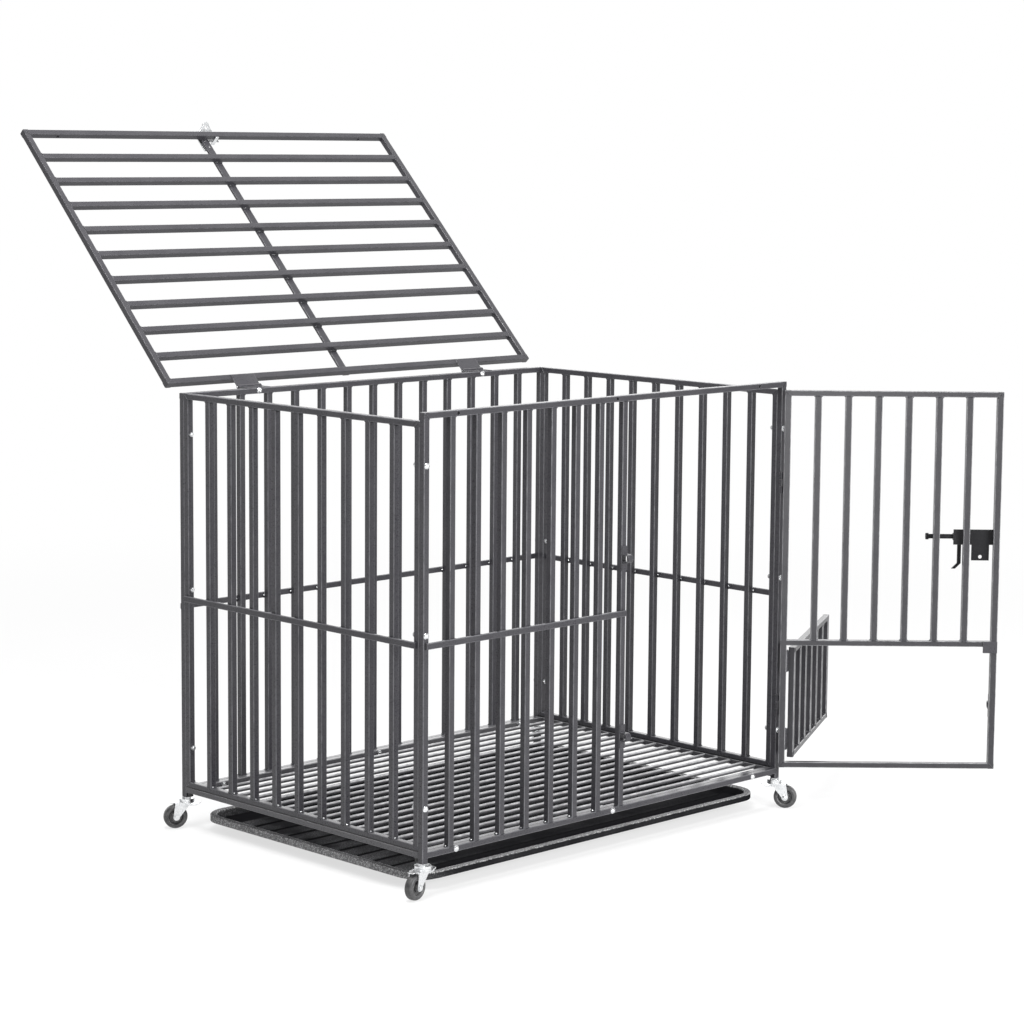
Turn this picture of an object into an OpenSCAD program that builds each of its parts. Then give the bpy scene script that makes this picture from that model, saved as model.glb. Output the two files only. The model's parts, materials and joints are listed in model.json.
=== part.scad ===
// Rolling dog crate of welded square tube, with a lift-up lid, a front door and a small hatch in that door.
// Millimetres. X runs along the front, +Y to the back, +Z up. The origin is on the ground under the middle.
// Lid, door and hatch stand open; each is drawn closed and then turned about its own hinge.

/* [Crate] */
// Length of the crate over its corner tubes
crate_length = 1050; // [950:10:1200]
// Depth of the crate over its front and back panels
crate_depth = 748; // [680:4:820]
// Height of the top of the front panel above the ground
front_top = 932; // [880:2:1000]
// Height of the lower end of the legs above the ground
leg_bottom = 66; // [62:1:72]
// Length of leg that shows below the bottom rails
leg_show = 10; // [8:0.5:14]

/* [Tubes] */
// Side of the square upright tubes and bars
tube = 14; // [12:0.5:18]
// Height of the horizontal rails
rail_height = 12; // [10:0.5:14]
// Flat along each tube edge
tube_edge = 1.2; // [0.6:0.1:2]
// Height of the flat braces outside the bars
brace_height = 12.5; // [10:0.5:16]
// Thickness of the flat braces
brace_thickness = 6; // [4:0.5:8]
// Height of the middle of the front and left braces above the ground
brace_level = 488; // [440:2:495]
// Height of the middle of the back and right braces above the ground
far_brace_level = 469; // [440:1:495]
// How far a brace stops short of the outer edge of a tube that it laps
brace_inset = 4; // [2:0.5:6]
// How far a welded bar runs into the rail that it meets
weld_depth = 2; // [1.5:0.5:3]

/* [Panels] */
// Middle of the post beside the doorway, right of the crate's middle
post_offset = 24; // [0:1:40]
// Upright bars in the front panel, left of the post
front_bars = 7; // [5:1:8]
// Upright bars in the back panel
back_bars = 13; // [9:1:15]
// Upright bars in each end panel
end_bars = 9; // [6:1:10]
// Distance from the crate's end to the outer holes in the front rails
rail_hole_inset = 88; // [70:1:110]
// Diameter of the holes in the front panel's top rail
rail_hole = 7; // [5:0.5:8]

/* [Floor] */
// Diameter of the floor rods
floor_rod = 8; // [6:0.5:9]
// Number of floor rods
floor_rods = 18; // [14:1:20]

/* [Lid] */
// Angle that the lid stands open
lid_open = 134.6; // [90:0.2:140]
// Gap between the lid and the front panel
lid_gap = 1.5; // [1:0.5:4]
// Cross bars in the lid
lid_bars = 9; // [6:1:11]
// Distance from the back panel's face to the lid's hinge pin
lid_pin_reach = 21; // [16:0.5:26]
// Distance of each lid hinge from the middle of the crate
lid_hinge_offset = 325; // [250:5:400]
// Length of a lid hinge
lid_hinge_length = 62; // [50:1:80]
// Thickness of a lid hinge leaf
lid_leaf = 1.4; // [1:0.1:2]
// Width of the flat brace along the lid
lid_brace_width = 19.5; // [12:0.5:24]
// Middle of that brace, measured from the middle of the crate
lid_brace_middle = -26.5; // [-40:0.5:-22]
// Width of the hasp's arch where it bends down
hasp_width = 38; // [30:1:44]
// Middle of the arch, measured from the middle of the crate
hasp_middle = -2; // [-6:0.5:6]
// Length of the arch from its bend to its tip
hasp_reach = 22; // [20:0.5:28]
// Angle that the arch bends down from the lid
hasp_tilt = 45; // [20:1:60]
// Thickness of the hasp
hasp_thickness = 2.5; // [2:0.5:3]
// Diameter of the padlock hole in the arch
hasp_hole = 8; // [6:0.5:9]

/* [Door] */
// Angle that the door stands open
door_open = 135.4; // [0:0.2:160]
// Gap between the door and the doorway at each side
door_gap = 6; // [5:0.5:8]
// Gap between the door and the front panel's top rail
door_gap_top = 4; // [3:0.5:8]
// Gap between the door and the front panel's bottom rail
door_gap_bottom = 8; // [5:0.5:10]
// Upright bars in the door, above its cross rail
door_bars = 6; // [4:1:7]
// Height of the underside of the door's cross rail
cross_rail_bottom = 364; // [330:1:380]
// Height of the middle of the lower door hinge
door_hinge_low = 230; // [210:1:250]
// Height of the middle of the upper door hinge
door_hinge_high = 715; // [650:1:800]

/* [Hatch] */
// Angle that the hatch stands open from the door
hatch_open = 74; // [0:1:85]
// Gap between the hatch and the door's stiles
hatch_gap = 3; // [2.5:0.5:5]
// Gap between the hatch and the rails above and below it
hatch_gap_end = 7; // [4:0.5:10]
// How much thinner the hatch is than the door, so that it clears the stop plate
hatch_relief = 0.5; // [0.4:0.1:1.5]
// Upright bars in the hatch
hatch_bars = 5; // [3:1:6]
// Height of the middle of the lower hatch hinge
hatch_hinge_low = 155; // [145:1:165]
// Height of the middle of the upper hatch hinge
hatch_hinge_high = 327; // [310:1:328]

/* [Upright hinges] */
// Radius of a door or hatch hinge knuckle
knuckle = 4.5; // [4:0.25:5.5]
// Length of a door or hatch hinge
hinge_length = 46; // [36:1:50]
// Width of a leaf from the pin to its edge
leaf_width = 16; // [12:0.5:16.5]
// Thickness of a leaf
leaf = 2; // [1.5:0.25:3]
// Radius of every hinge pin
hinge_pin = 2; // [1.5:0.25:2.25]

/* [Slide bolts] */
// Diameter of a slide bolt's rod
bolt_rod = 10; // [8:0.5:11]
// Thickness of a slide bolt's plate
bolt_plate = 3; // [2:0.5:4]
// Height of a slide bolt's plate
bolt_plate_height = 33; // [30:1:40]
// Height of the door's bolt above the ground
door_bolt_level = 601; // [560:1:640]
// Length of the door's bolt rod
door_bolt_length = 150; // [130:2:160]
// Travel of the door's bolt, from the handle's place at rest to the middle of the padlock ear
door_bolt_travel = 44; // [38:1:48]
// Height of the hatch's bolt above the ground
hatch_bolt_level = 233; // [220:1:250]
// Length of the hatch's bolt rod
hatch_bolt_length = 140; // [130:2:150]
// Length of a handle below the middle of its rod
handle_drop = 70; // [60:1:80]
// Width of a handle along its rod
handle_width = 8; // [6:0.5:10]
// Diameter of the padlock hole below the door's bolt
padlock_hole = 8; // [6:0.5:10]

/* [Bolts and nuts] */
// Diameter of the assembly bolts
bolt = 6; // [5:0.5:6.5]
// Diameter of their dome heads
bolt_head = 13; // [11:0.5:14]
// Height of the lowest corner bolts
corner_bolt_low = 173; // [160:1:200]
// Height of the middle corner bolts
corner_bolt_middle = 507; // [505:1:530]
// Height of the highest corner bolts
corner_bolt_high = 831; // [780:1:850]

/* [Tray] */
// Length of the tray over its rim
tray_length = 1012; // [960:2:1014]
// Depth of the tray over its rim
tray_depth = 684; // [620:2:688]
// Corner radius of the rim
tray_corner = 60; // [60:1:90]
// Height of the rim above the ground
tray_top = 33; // [28:0.5:38]
// Height of the tray's underside between its skids
tray_base = 14; // [10:0.5:16]
// Thickness of the tray's plastic
tray_wall = 2.5; // [2:0.25:4]
// Width of the rim outside the wall
tray_rim = 12; // [8:0.5:16]
// Height of the skirt that the rim turns down into
tray_skirt = 13; // [6:0.5:16]
// Flat along the edges of the rim
tray_edge = 1.5; // [0.5:0.25:2]
// How much the wall leans in from rim to base
tray_taper = 6; // [2:0.5:12]
// Number of raised ribs along the tray's floor
tray_ribs = 10; // [6:2:10]
// Distance between the middles of the ribs
rib_pitch = 53; // [48:0.5:56]
// Width of a rib
rib_width = 40; // [30:1:44]
// Height of a rib above the tray's floor
rib_rise = 3; // [1:0.5:4]
// Width of a skid
skid_width = 30; // [20:1:40]
// Distance of each skid from the middle of the tray
skid_offset = 198; // [150:2:215]
// Distance from the tray's end to a skid's end
skid_inset = 132; // [120:2:180]

/* [Casters] */
// Diameter of a wheel
wheel = 50; // [44:1:50]
// Width of a wheel
wheel_width = 18; // [16:0.5:20]
// Distance from a swivel's axis to its axle
trail = 24; // [20:0.5:25]
// Radius of the swivel head
swivel_head = 16.5; // [15:0.5:18]
// Thickness of the fork's plates
fork_plate = 2; // [1.5:0.25:3]
// Diameter of the caster stem
caster_stem = 10; // [8:0.5:10.5]
// Length of the stem inside a leg
stem_length = 24; // [18:1:40]
// Radius of an axle
axle = 3; // [2.5:0.25:3.5]
// Directions that the casters trail in: front left, front right, back left, back right
trail_angles = [190, 305, 155, 45]; // [0:1:360]

/* [Hidden] */
$fn = 48;

coat = "#4b4a4f";
zinc = "#d4d6d8";
black = "#232326";
tread = "#3a3a3d";

// Clearances, and how far a brace sinks into the bars that it is welded to
overrun = 5;
brace_lap = 0.2;
running = 0.05;
drill_play = 0.2;
hinge_play = 0.3;
swivel_play = 0.3;

// Main planes
half_length = crate_length / 2;
half_depth = crate_depth / 2;
front_face = -half_depth;
floor_bottom = leg_bottom + leg_show;
floor_top = floor_bottom + rail_height;
inner_depth = half_depth - tube;
lid_leaf_gap = 0.2;
lid_seat = lid_leaf + lid_leaf_gap / 2;
frame_top = front_top - tube - 2 * lid_seat;
rail_hole_level = front_top - rail_height / 2;
rail_hole_places = [-half_length + rail_hole_inset, 0, half_length - rail_hole_inset];
floor_bolt_level = floor_bottom + rail_height / 2;
corner_bolt_levels = [corner_bolt_low, corner_bolt_middle, corner_bolt_high];
corner_x = half_length - tube / 2;
corner_y = half_depth - tube / 2;

// Bolts and nuts
nut_height = 5;
nut_share = 1.8;
nut_across = bolt * nut_share;
dome_share = 0.32;
head_rise = bolt_head * dome_share;
thread_end = 2;

// Doorway, door and hatch, closed
post_left = post_offset - tube / 2;
doorway_left = post_offset + tube / 2;
doorway_right = half_length - tube;
door_left = doorway_left + door_gap;
door_right = doorway_right - door_gap;
door_bottom = floor_top + door_gap_bottom;
door_top = front_top - rail_height - door_gap_top;
door_pivot = [doorway_right - door_gap / 2, front_face - knuckle, 0];
door_bar_pitch = (door_right - door_left - tube) / (door_bars + 1);
cross_rail_top = cross_rail_bottom + rail_height;
hatch_left = door_left + tube + hatch_gap;
hatch_right = door_right - tube - hatch_gap;
hatch_bottom = door_bottom + rail_height + hatch_gap_end;
hatch_top = cross_rail_bottom - hatch_gap_end;
hatch_depth = tube - hatch_relief;
hatch_pivot = [hatch_right + hatch_gap / 2, front_face - knuckle, 0];
hatch_bar_pitch = (hatch_right - hatch_left - tube) / (hatch_bars + 1);

// Lid, closed
lid_front = -inner_depth + lid_gap;
lid_back = half_depth - lid_gap;
lid_bottom = front_top - tube;
lid_pivot = [0, half_depth + lid_pin_reach, frame_top + lid_seat];
lid_knuckle = 4;
lid_leaf_width = lid_pin_reach + tube - lid_gap;
lid_bar_pitch = (lid_back - lid_front - tube) / (lid_bars + 1);

// Hasp on the lid's brace: base plate, bend in front of the crate, arch, and an upright lug behind the rail
hasp_seat = front_top + brace_thickness;
hasp_clear = 4;
hasp_bend = front_face - hasp_clear;
hasp_left = hasp_middle - hasp_width / 2;
hasp_tip = 9;
bend_lap = 1;
hasp_hole_run = 9;
base_width = 25;
base_left = lid_brace_middle - base_width / 2;
base_length = 29;
lug_width = 9;
lug_left = hasp_middle;
lug_low = 12;
lug_high = 8;
hasp_rivet = 4;
rivet_tail = 0.8;
hasp_rivet_start = 3.5;
hasp_rivet_pitch = 20;
hasp_rivet_depth = brace_thickness + rivet_tail;

// Hinge pins and the narrower leaves of the hatch
hatch_leaf_width = leaf_width - hatch_gap;
pin_lip = 1.2;
pin_head = hinge_pin + pin_lip;
pin_head_rise = 1.5;

// Slide bolts: rod height off the plate's seat, guides, keepers
rod_radius = bolt_rod / 2;
collar_wall = 2.5;
collar = rod_radius + collar_wall;
collar_gap = 0.5;
rod_lift = bolt_plate + collar + collar_gap;
guide_width = 10;
strap = 2.5;
loop_play = 1;
keeper_inside = rod_radius + loop_play;
guide_inside = rod_radius + running;
keeper_width = tube;
keeper_height = 50;
rivet = 4;
rivet_head = 7;
rivet_rise = 1.8;
rivet_depth = 5;
rivet_inset = 4.3;
handle_thickness = 5;
plate_inset = 7;
ear_drop = 34;
ear_width = 38;
ear_left = door_left + tube + plate_inset;
door_handle_left = ear_left + ear_width / 2 + door_bolt_travel - handle_width / 2;
door_plate_right = door_handle_left + handle_width + hinge_play + guide_width;
door_plate_left = door_left + plate_inset;
door_rod_tip = door_left + loop_play;
hatch_plate_right = hatch_left + tube / 2 + hatch_bar_pitch + tube / 2;
hatch_plate_left = hatch_left + loop_play;
hatch_rod_tip = hatch_left + loop_play;
tip_lean = 12;
knob_lip = 2;
knob_radius = rod_radius + knob_lip;
knob_length = 6;
stop_lap = 14;
stop_thickness = 2.5;

// Casters
wheel_radius = wheel / 2;
crown_share = 0.42;
crown_top = wheel + (leg_bottom - wheel) * crown_share;
crown_bottom = crown_top - 3 * fork_plate / 2;
race_bottom = crown_top + swivel_play;
race_share = 0.66;
race_height = (leg_bottom - race_bottom) * race_share;
head_nut_share = 0.6;
head_nut = swivel_head * head_nut_share;
kingpin = 4;
kingpin_shoulder = crown_bottom - swivel_play;
kingpin_head = 6;
wheel_side_gap = 1.5;
fork_inside = wheel_width / 2 + wheel_side_gap;
fork_outside = fork_inside + fork_plate;
axle_boss = 7;
fork_back = -8;
fork_front = 26;
tab_length = 12;
tab_half = 6;
axle_head = 5.5;
axle_head_rise = 2.5;
hub = 9;
web_half = 4;
rim_inner = 17;
shoulder = 6;
brake_x = 3;
brake_sink = 1.5;
brake_z = wheel - brake_sink;
brake_pin = 1.5;
brake_boss = 3.2;
brake_thickness = 2.5;
brake_reach = 22;
brake_side_gap = 0.5;
pad_length = 11;
pad_tilt = 30;

// Plugs that close the floor frame's corner tubes from below
plug_radius = 5.5;
plug_drop = 8;
plug_flange = 6.5;
plug_flange_drop = 2;

// Square tube outline with flattened edges
module tube_outline(width, height, edge) {
    polygon([[edge, 0], [width - edge, 0], [width, edge], [width, height - edge],
        [width - edge, height], [edge, height], [0, height - edge], [0, edge]]);
}

// Tubes along each axis, from one end to the other, with their low corner given
module tube_x(x0, x1, y, z, depth = tube, height = rail_height) {
    translate([x0, y, z]) rotate([90, 0, 90]) linear_extrude(x1 - x0)
        tube_outline(depth, height, tube_edge);
}

module tube_y(y0, y1, x, z, width = tube, height = rail_height) {
    translate([x, y1, z]) rotate([90, 0, 0]) linear_extrude(y1 - y0)
        tube_outline(width, height, tube_edge);
}

module tube_z(z0, z1, x, y, width = tube, depth = tube) {
    translate([x, y, z0]) linear_extrude(z1 - z0) tube_outline(width, depth, tube_edge);
}

// Round rods along X and Y
module rod_x(x0, x1, y, z, radius) {
    translate([x0, y, z]) rotate([0, 90, 0]) cylinder(h = x1 - x0, r = radius);
}

module rod_y(y0, y1, x, z, radius) {
    translate([x, y1, z]) rotate([90, 0, 0]) cylinder(h = y1 - y0, r = radius);
}

// Domed head standing on z = 0
module dome(radius, rise) {
    ball = (radius * radius + rise * rise) / (2 * rise);
    intersection() {
        translate([0, 0, rise - ball]) sphere(r = ball);
        cylinder(h = rise, r = radius);
    }
}

// Bolt with its head at y = 0, running to +Y
module bolt_y(length) {
    rotate([90, 0, 0]) dome(bolt_head / 2, head_rise);
    rod_y(0, length, 0, 0, bolt / 2);
}

// Hexagon nut from y = 0 to +Y
module nut_y() {
    rotate([-90, 0, 0]) difference() {
        cylinder(h = nut_height, d = nut_across, $fn = 6);
        translate([0, 0, -overrun]) cylinder(h = nut_height + 2 * overrun, d = bolt + 2 * running);
    }
}

// Places of the corner bolts, drawn for the front and mirrored to the back
module at_corner_bolts() {
    for (back = [0, 1], side = [-1, 1], level = corner_bolt_levels)
        mirror([0, back, 0]) translate([side * corner_x, front_face, level]) children();
}

module at_floor_bolts() {
    for (back = [0, 1], place = rail_hole_places)
        mirror([0, back, 0]) translate([place, front_face, floor_bolt_level]) children();
}

// Drill for an assembly bolt through two tubes, along +Y
module bolt_drill() {
    rod_y(-overrun, 2 * tube + overrun, 0, 0, bolt / 2 + drill_play);
}

// Blind holes for the caster stems
module stem_drills() {
    for (x = [-1, 1], y = [-1, 1])
        translate([x * corner_x, y * corner_y, leg_bottom - overrun])
            cylinder(h = stem_length + overrun + drill_play, d = caster_stem + 2 * running);
}

// Upright bars between two tubes whose middles are given, along X
module bar_row_x(middle_left, middle_right, bars, y, z0, z1, depth = tube) {
    pitch = (middle_right - middle_left) / (bars + 1);
    for (i = [1 : bars])
        tube_z(z0 - weld_depth, z1 + weld_depth, middle_left + i * pitch - tube / 2, y, tube, depth);
}

// Front panel with the doorway at its right
module front_panel() {
    color(coat) difference() {
        union() {
            tube_z(leg_bottom, front_top, -half_length, front_face);
            tube_z(leg_bottom, front_top, doorway_right, front_face);
            tube_x(-half_length, half_length, front_face, front_top - rail_height);
            tube_x(-half_length + tube - weld_depth, doorway_right + weld_depth, front_face, floor_bottom);
            tube_z(floor_top - weld_depth, front_top - rail_height + weld_depth, post_left, front_face);
            bar_row_x(-corner_x, post_offset, front_bars, front_face, floor_top, front_top - rail_height);
            tube_x(-half_length + brace_inset, doorway_left - brace_inset, front_face - brace_thickness,
                brace_level - brace_height / 2, brace_thickness + brace_lap, brace_height);
        }
        for (x = rail_hole_places)
            rod_y(front_face - overrun, -inner_depth + overrun, x, rail_hole_level, rail_hole / 2);
        at_corner_bolts() bolt_drill();
        at_floor_bolts() bolt_drill();
        stem_drills();
    }
}

module back_panel() {
    color(coat) difference() {
        union() {
            for (x = [-half_length, doorway_right]) tube_z(leg_bottom, frame_top, x, inner_depth);
            tube_x(-half_length, half_length, inner_depth, frame_top - rail_height);
            tube_x(-half_length + tube - weld_depth, doorway_right + weld_depth, inner_depth, floor_bottom);
            bar_row_x(-corner_x, corner_x, back_bars, inner_depth, floor_top, frame_top - rail_height);
            tube_x(-half_length + brace_inset, half_length - brace_inset, half_depth - brace_lap,
                far_brace_level - brace_height / 2, brace_thickness + brace_lap, brace_height);
        }
        at_corner_bolts() bolt_drill();
        at_floor_bolts() bolt_drill();
        at_lid_hinges() translate([0, inner_depth - lid_pivot.y, frame_top - rail_height / 2 - lid_pivot.z])
            bolt_drill();
        stem_drills();
    }
}

// End panel at the left, with its brace at the level given; the right one is mirrored
module end_panel(level) {
    outer = -half_length;
    pitch = 2 * (inner_depth - tube / 2) / (end_bars + 1);
    difference() {
        union() {
            for (y = [-inner_depth, inner_depth - tube]) tube_z(floor_top, frame_top, outer, y);
            for (z = [floor_top, frame_top - rail_height])
                tube_y(-inner_depth, inner_depth, outer, z);
            for (i = [1 : end_bars])
                tube_z(floor_top + rail_height - weld_depth, frame_top - rail_height + weld_depth, outer,
                    -inner_depth + i * pitch);
            tube_y(-inner_depth + brace_inset, inner_depth - brace_inset, outer - brace_thickness,
                level - brace_height / 2, brace_thickness + brace_lap, brace_height);
        }
        at_corner_bolts() bolt_drill();
    }
}

module left_panel() {
    color(coat) end_panel(brace_level);
}

module right_panel() {
    color(coat) mirror([1, 0, 0]) end_panel(far_brace_level);
}

module floor_grid() {
    pitch = 2 * (inner_depth - tube / 2) / (floor_rods + 1);
    rod_level = floor_top - floor_rod / 2 - tube_edge;
    color(coat) difference() {
        union() {
            for (y = [-inner_depth, inner_depth - tube])
                tube_x(-half_length, half_length, y, floor_bottom);
            for (x = [-half_length, doorway_right])
                tube_y(-inner_depth, inner_depth, x, floor_bottom);
            for (i = [1 : floor_rods])
                rod_x(-half_length + tube - weld_depth, half_length - tube + weld_depth,
                    -inner_depth + tube / 2 + i * pitch, rod_level, floor_rod / 2);
        }
        at_floor_bolts() bolt_drill();
    }
}

module corner_bolts() {
    color(zinc) at_corner_bolts() bolt_y(2 * tube + nut_height + thread_end);
}

module corner_nuts() {
    color(zinc) at_corner_bolts() translate([0, 2 * tube, 0]) nut_y();
}

module floor_bolts() {
    color(zinc) at_floor_bolts() bolt_y(2 * tube + nut_height + thread_end);
}

module floor_nuts() {
    color(zinc) at_floor_bolts() translate([0, 2 * tube, 0]) nut_y();
}

// Half of a hinge about the Z axis. Its leaf runs to +X, with its seat on the +Y side.
// spans are the stretches of the pin that this half's knuckles take.
module hinge_half(spans, length, seat, width, thickness, radius) {
    difference() {
        union() {
            for (s = spans) {
                translate([0, 0, s[0]]) cylinder(h = s[1] - s[0], r = radius);
                translate([0, seat - thickness, s[0]]) cube([radius + hinge_play, thickness, s[1] - s[0]]);
            }
            translate([radius + hinge_play, seat - thickness, -length / 2])
                cube([width - radius - hinge_play, thickness, length]);
        }
        translate([0, 0, -length / 2 - overrun])
            cylinder(h = length + 2 * overrun, r = hinge_pin + running);
    }
}

// Knuckle stretches: the fixed half has both ends, the moving half the middle
function fixed_spans(length) = [[-length / 2, -length / 6], [length / 6, length / 2]];
function moving_spans(length) = [[-length / 6 + hinge_play, length / 6 - hinge_play]];

module hinge_pin_z(length) {
    translate([0, 0, -length / 2 - pin_head_rise]) cylinder(h = length + pin_head_rise, r = hinge_pin);
    translate([0, 0, length / 2]) cylinder(h = pin_head_rise, r = pin_head);
}

// Turn a closed piece to where it stands open
module on_lid() {
    translate(lid_pivot) rotate([-lid_open, 0, 0]) translate(-lid_pivot) children();
}

module on_door() {
    translate(door_pivot) rotate([0, 0, door_open]) translate(-door_pivot) children();
}

module on_hatch() {
    on_door() translate(hatch_pivot) rotate([0, 0, hatch_open]) translate(-hatch_pivot) children();
}

// Places of the lid hinges, with the pin along local X
module at_lid_hinges() {
    for (side = [-1, 1]) translate([side * lid_hinge_offset, lid_pivot.y, lid_pivot.z]) children();
}

// Stand a hinge drawn about Z along X, with its leaf toward the front
module lay_along_x() {
    rotate([90, 0, 90]) mirror([1, 0, 0]) children();
}

module lid_hinge_plates() {
    color(coat) at_lid_hinges() lay_along_x() mirror([0, 1, 0])
        hinge_half(fixed_spans(lid_hinge_length), lid_hinge_length, lid_seat, lid_leaf_width, lid_leaf,
            lid_knuckle);
}

module lid_hinge_leaves() {
    color(coat) on_lid() at_lid_hinges() lay_along_x()
        hinge_half(moving_spans(lid_hinge_length), lid_hinge_length, lid_seat, lid_leaf_width, lid_leaf,
            lid_knuckle);
}

module lid_hinge_pins() {
    color(zinc) at_lid_hinges() lay_along_x() hinge_pin_z(lid_hinge_length);
}

// One bolt at each lid hinge, through the back panel's top rail
module at_lid_hinge_bolts() {
    at_lid_hinges() translate([0, inner_depth - lid_pivot.y, frame_top - rail_height / 2 - lid_pivot.z])
        children();
}

module lid_hinge_bolts() {
    color(zinc) at_lid_hinge_bolts() bolt_y(tube + nut_height + thread_end);
}

module lid_hinge_nuts() {
    color(zinc) at_lid_hinge_bolts() translate([0, tube, 0]) nut_y();
}

// Lid frame: cross bars between the side rails, a flat brace near the middle on its outer face
module lid_frame() {
    color(coat) on_lid() difference() {
        union() {
            for (y = [lid_front, lid_back - tube])
                tube_x(-half_length, half_length, y, lid_bottom, tube, tube);
            for (x = [-half_length, doorway_right])
                tube_y(lid_front, lid_back, x, lid_bottom, tube, tube);
            for (i = [1 : lid_bars])
                tube_x(-half_length + tube - weld_depth, half_length - tube + weld_depth,
                    lid_front + i * lid_bar_pitch, lid_bottom, tube, tube);
            tube_y(lid_front + brace_inset, lid_back - brace_inset, lid_brace_middle - lid_brace_width / 2,
                front_top - brace_lap, lid_brace_width, brace_thickness + brace_lap);
        }
        for (x = [rail_hole_places[0], rail_hole_places[2]])
            rod_y(lid_front - overrun, lid_front + tube + overrun, x, rail_hole_level, rail_hole / 2);
        at_hasp_rivets() hasp_rivet_drill();
    }
}

// Rivets of the hasp, through the lid's brace behind its front rail
module at_hasp_rivets() {
    for (i = [0, 1])
        translate([lid_brace_middle, lid_front + tube + hasp_rivet_start + i * hasp_rivet_pitch, hasp_seat])
            children();
}

module hasp_rivet_drill() {
    translate([0, 0, -hasp_rivet_depth - overrun])
        cylinder(h = hasp_rivet_depth + hasp_thickness + 2 * overrun, d = hasp_rivet + 2 * drill_play);
}

// Arch of the hasp, drawn flat from its bend toward -Y
module hasp_arch() {
    run = hasp_reach - hasp_tip;
    difference() {
        union() {
            polygon([[-hasp_width / 2, bend_lap], [hasp_width / 2, bend_lap],
                [hasp_tip, -run], [-hasp_tip, -run]]);
            translate([0, -run]) circle(r = hasp_tip);
        }
        translate([0, -hasp_hole_run]) circle(d = hasp_hole);
    }
}

// Hasp that passes over the front panel's top rail, for a padlock in front of it
module lid_hasp() {
    rail_side = lid_front + tube;
    color(zinc) on_lid() difference() {
        union() {
            translate([0, 0, hasp_seat]) linear_extrude(hasp_thickness) union() {
                translate([base_left, hasp_bend - bend_lap / 2])
                    square([hasp_left + hasp_width + bend_lap - base_left,
                        rail_side - hasp_bend + bend_lap / 2]);
                translate([base_left, rail_side - weld_depth]) square([base_width, base_length + weld_depth]);
            }
            translate([hasp_middle, hasp_bend, hasp_seat]) rotate([hasp_tilt, 0, 0])
                linear_extrude(hasp_thickness) hasp_arch();
            translate([lug_left, rail_side - weld_depth, hasp_seat])
                cube([lug_width, weld_depth + hasp_thickness, hasp_thickness]);
            translate([lug_left, rail_side, front_top - lug_low])
                cube([lug_width, hasp_thickness, lug_low + brace_thickness + lug_high]);
        }
        at_hasp_rivets() hasp_rivet_drill();
    }
}

module lid_hasp_rivets() {
    color(zinc) on_lid() at_hasp_rivets() {
        translate([0, 0, hasp_thickness]) dome(rivet_head / 2, rivet_rise);
        translate([0, 0, -hasp_rivet_depth]) cylinder(h = hasp_rivet_depth + hasp_thickness, d = hasp_rivet);
    }
}

module at_door_hinges() {
    for (level = [door_hinge_low, door_hinge_high])
        translate(door_pivot) translate([0, 0, level]) children();
}

module at_hatch_hinges() {
    for (level = [hatch_hinge_low, hatch_hinge_high])
        translate(hatch_pivot) translate([0, 0, level]) children();
}

module door_hinge_plates() {
    color(coat) at_door_hinges()
        hinge_half(fixed_spans(hinge_length), hinge_length, knuckle, leaf_width, leaf, knuckle);
}

module door_hinge_leaves() {
    color(coat) on_door() at_door_hinges() mirror([1, 0, 0])
        hinge_half(moving_spans(hinge_length), hinge_length, knuckle, leaf_width, leaf, knuckle);
}

module door_hinge_pins() {
    color(coat) at_door_hinges() hinge_pin_z(hinge_length);
}

module hatch_hinge_plates() {
    color(coat) on_door() at_hatch_hinges()
        hinge_half(fixed_spans(hinge_length), hinge_length, knuckle, hatch_leaf_width, leaf, knuckle);
}

module hatch_hinge_leaves() {
    color(coat) on_hatch() at_hatch_hinges() mirror([1, 0, 0])
        hinge_half(moving_spans(hinge_length), hinge_length, knuckle, hatch_leaf_width, leaf, knuckle);
}

module hatch_hinge_pins() {
    color(coat) on_door() at_hatch_hinges() hinge_pin_z(hinge_length);
}

// Door frame: upper grille, and an open lower part for the hatch
module door_frame() {
    color(coat) on_door() difference() {
        union() {
            for (x = [door_left, door_right - tube]) tube_z(door_bottom, door_top, x, front_face);
            for (z = [door_bottom, cross_rail_bottom, door_top - rail_height])
                tube_x(door_left, door_right, front_face, z);
            bar_row_x(door_left + tube / 2, door_right - tube / 2, door_bars, front_face, cross_rail_top,
                door_top - rail_height);
        }
        at_door_rivets() rivet_drill();
    }
}

module hatch_frame() {
    color(coat) on_hatch() difference() {
        union() {
            for (x = [hatch_left, hatch_right - tube])
                tube_z(hatch_bottom, hatch_top, x, front_face, tube, hatch_depth);
            for (z = [hatch_bottom, hatch_top - rail_height])
                tube_x(hatch_left, hatch_right, front_face, z, hatch_depth);
            bar_row_x(hatch_left + tube / 2, hatch_right - tube / 2, hatch_bars, front_face,
                hatch_bottom + rail_height, hatch_top - rail_height, hatch_depth);
        }
        at_hatch_rivets() rivet_drill();
    }
}

// Strap bent into a loop of radius inside round a rod, drawn in the plane of its height and its rise
// off the seat. lift is the height of the rod's middle off the seat.
module loop_outline(inside, lift, height) {
    outside = inside + strap;
    difference() {
        union() {
            translate([-height / 2, 0]) square([height, strap]);
            translate([-outside, 0]) square([2 * outside, lift]);
            translate([0, lift]) circle(r = outside);
        }
        translate([0, lift]) circle(r = inside);
        translate([-inside, -overrun]) square([2 * inside, lift + overrun]);
    }
}

// Loop on a seat that faces the front, with its rod along X, from x0 over width
module loop_at(x0, width, level, seat, inside, lift, height) {
    translate([x0, seat, level]) rotate([0, 90, 0]) mirror([0, 1, 0]) linear_extrude(width)
        loop_outline(inside, lift, height);
}

module keeper_at(x0, level) {
    loop_at(x0, keeper_width, level, front_face, keeper_inside, rod_lift, keeper_height);
}

module upper_keeper() {
    color(coat) keeper_at(post_left, door_bolt_level);
}

module lower_keeper() {
    color(coat) keeper_at(post_left, hatch_bolt_level);
}

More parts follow.
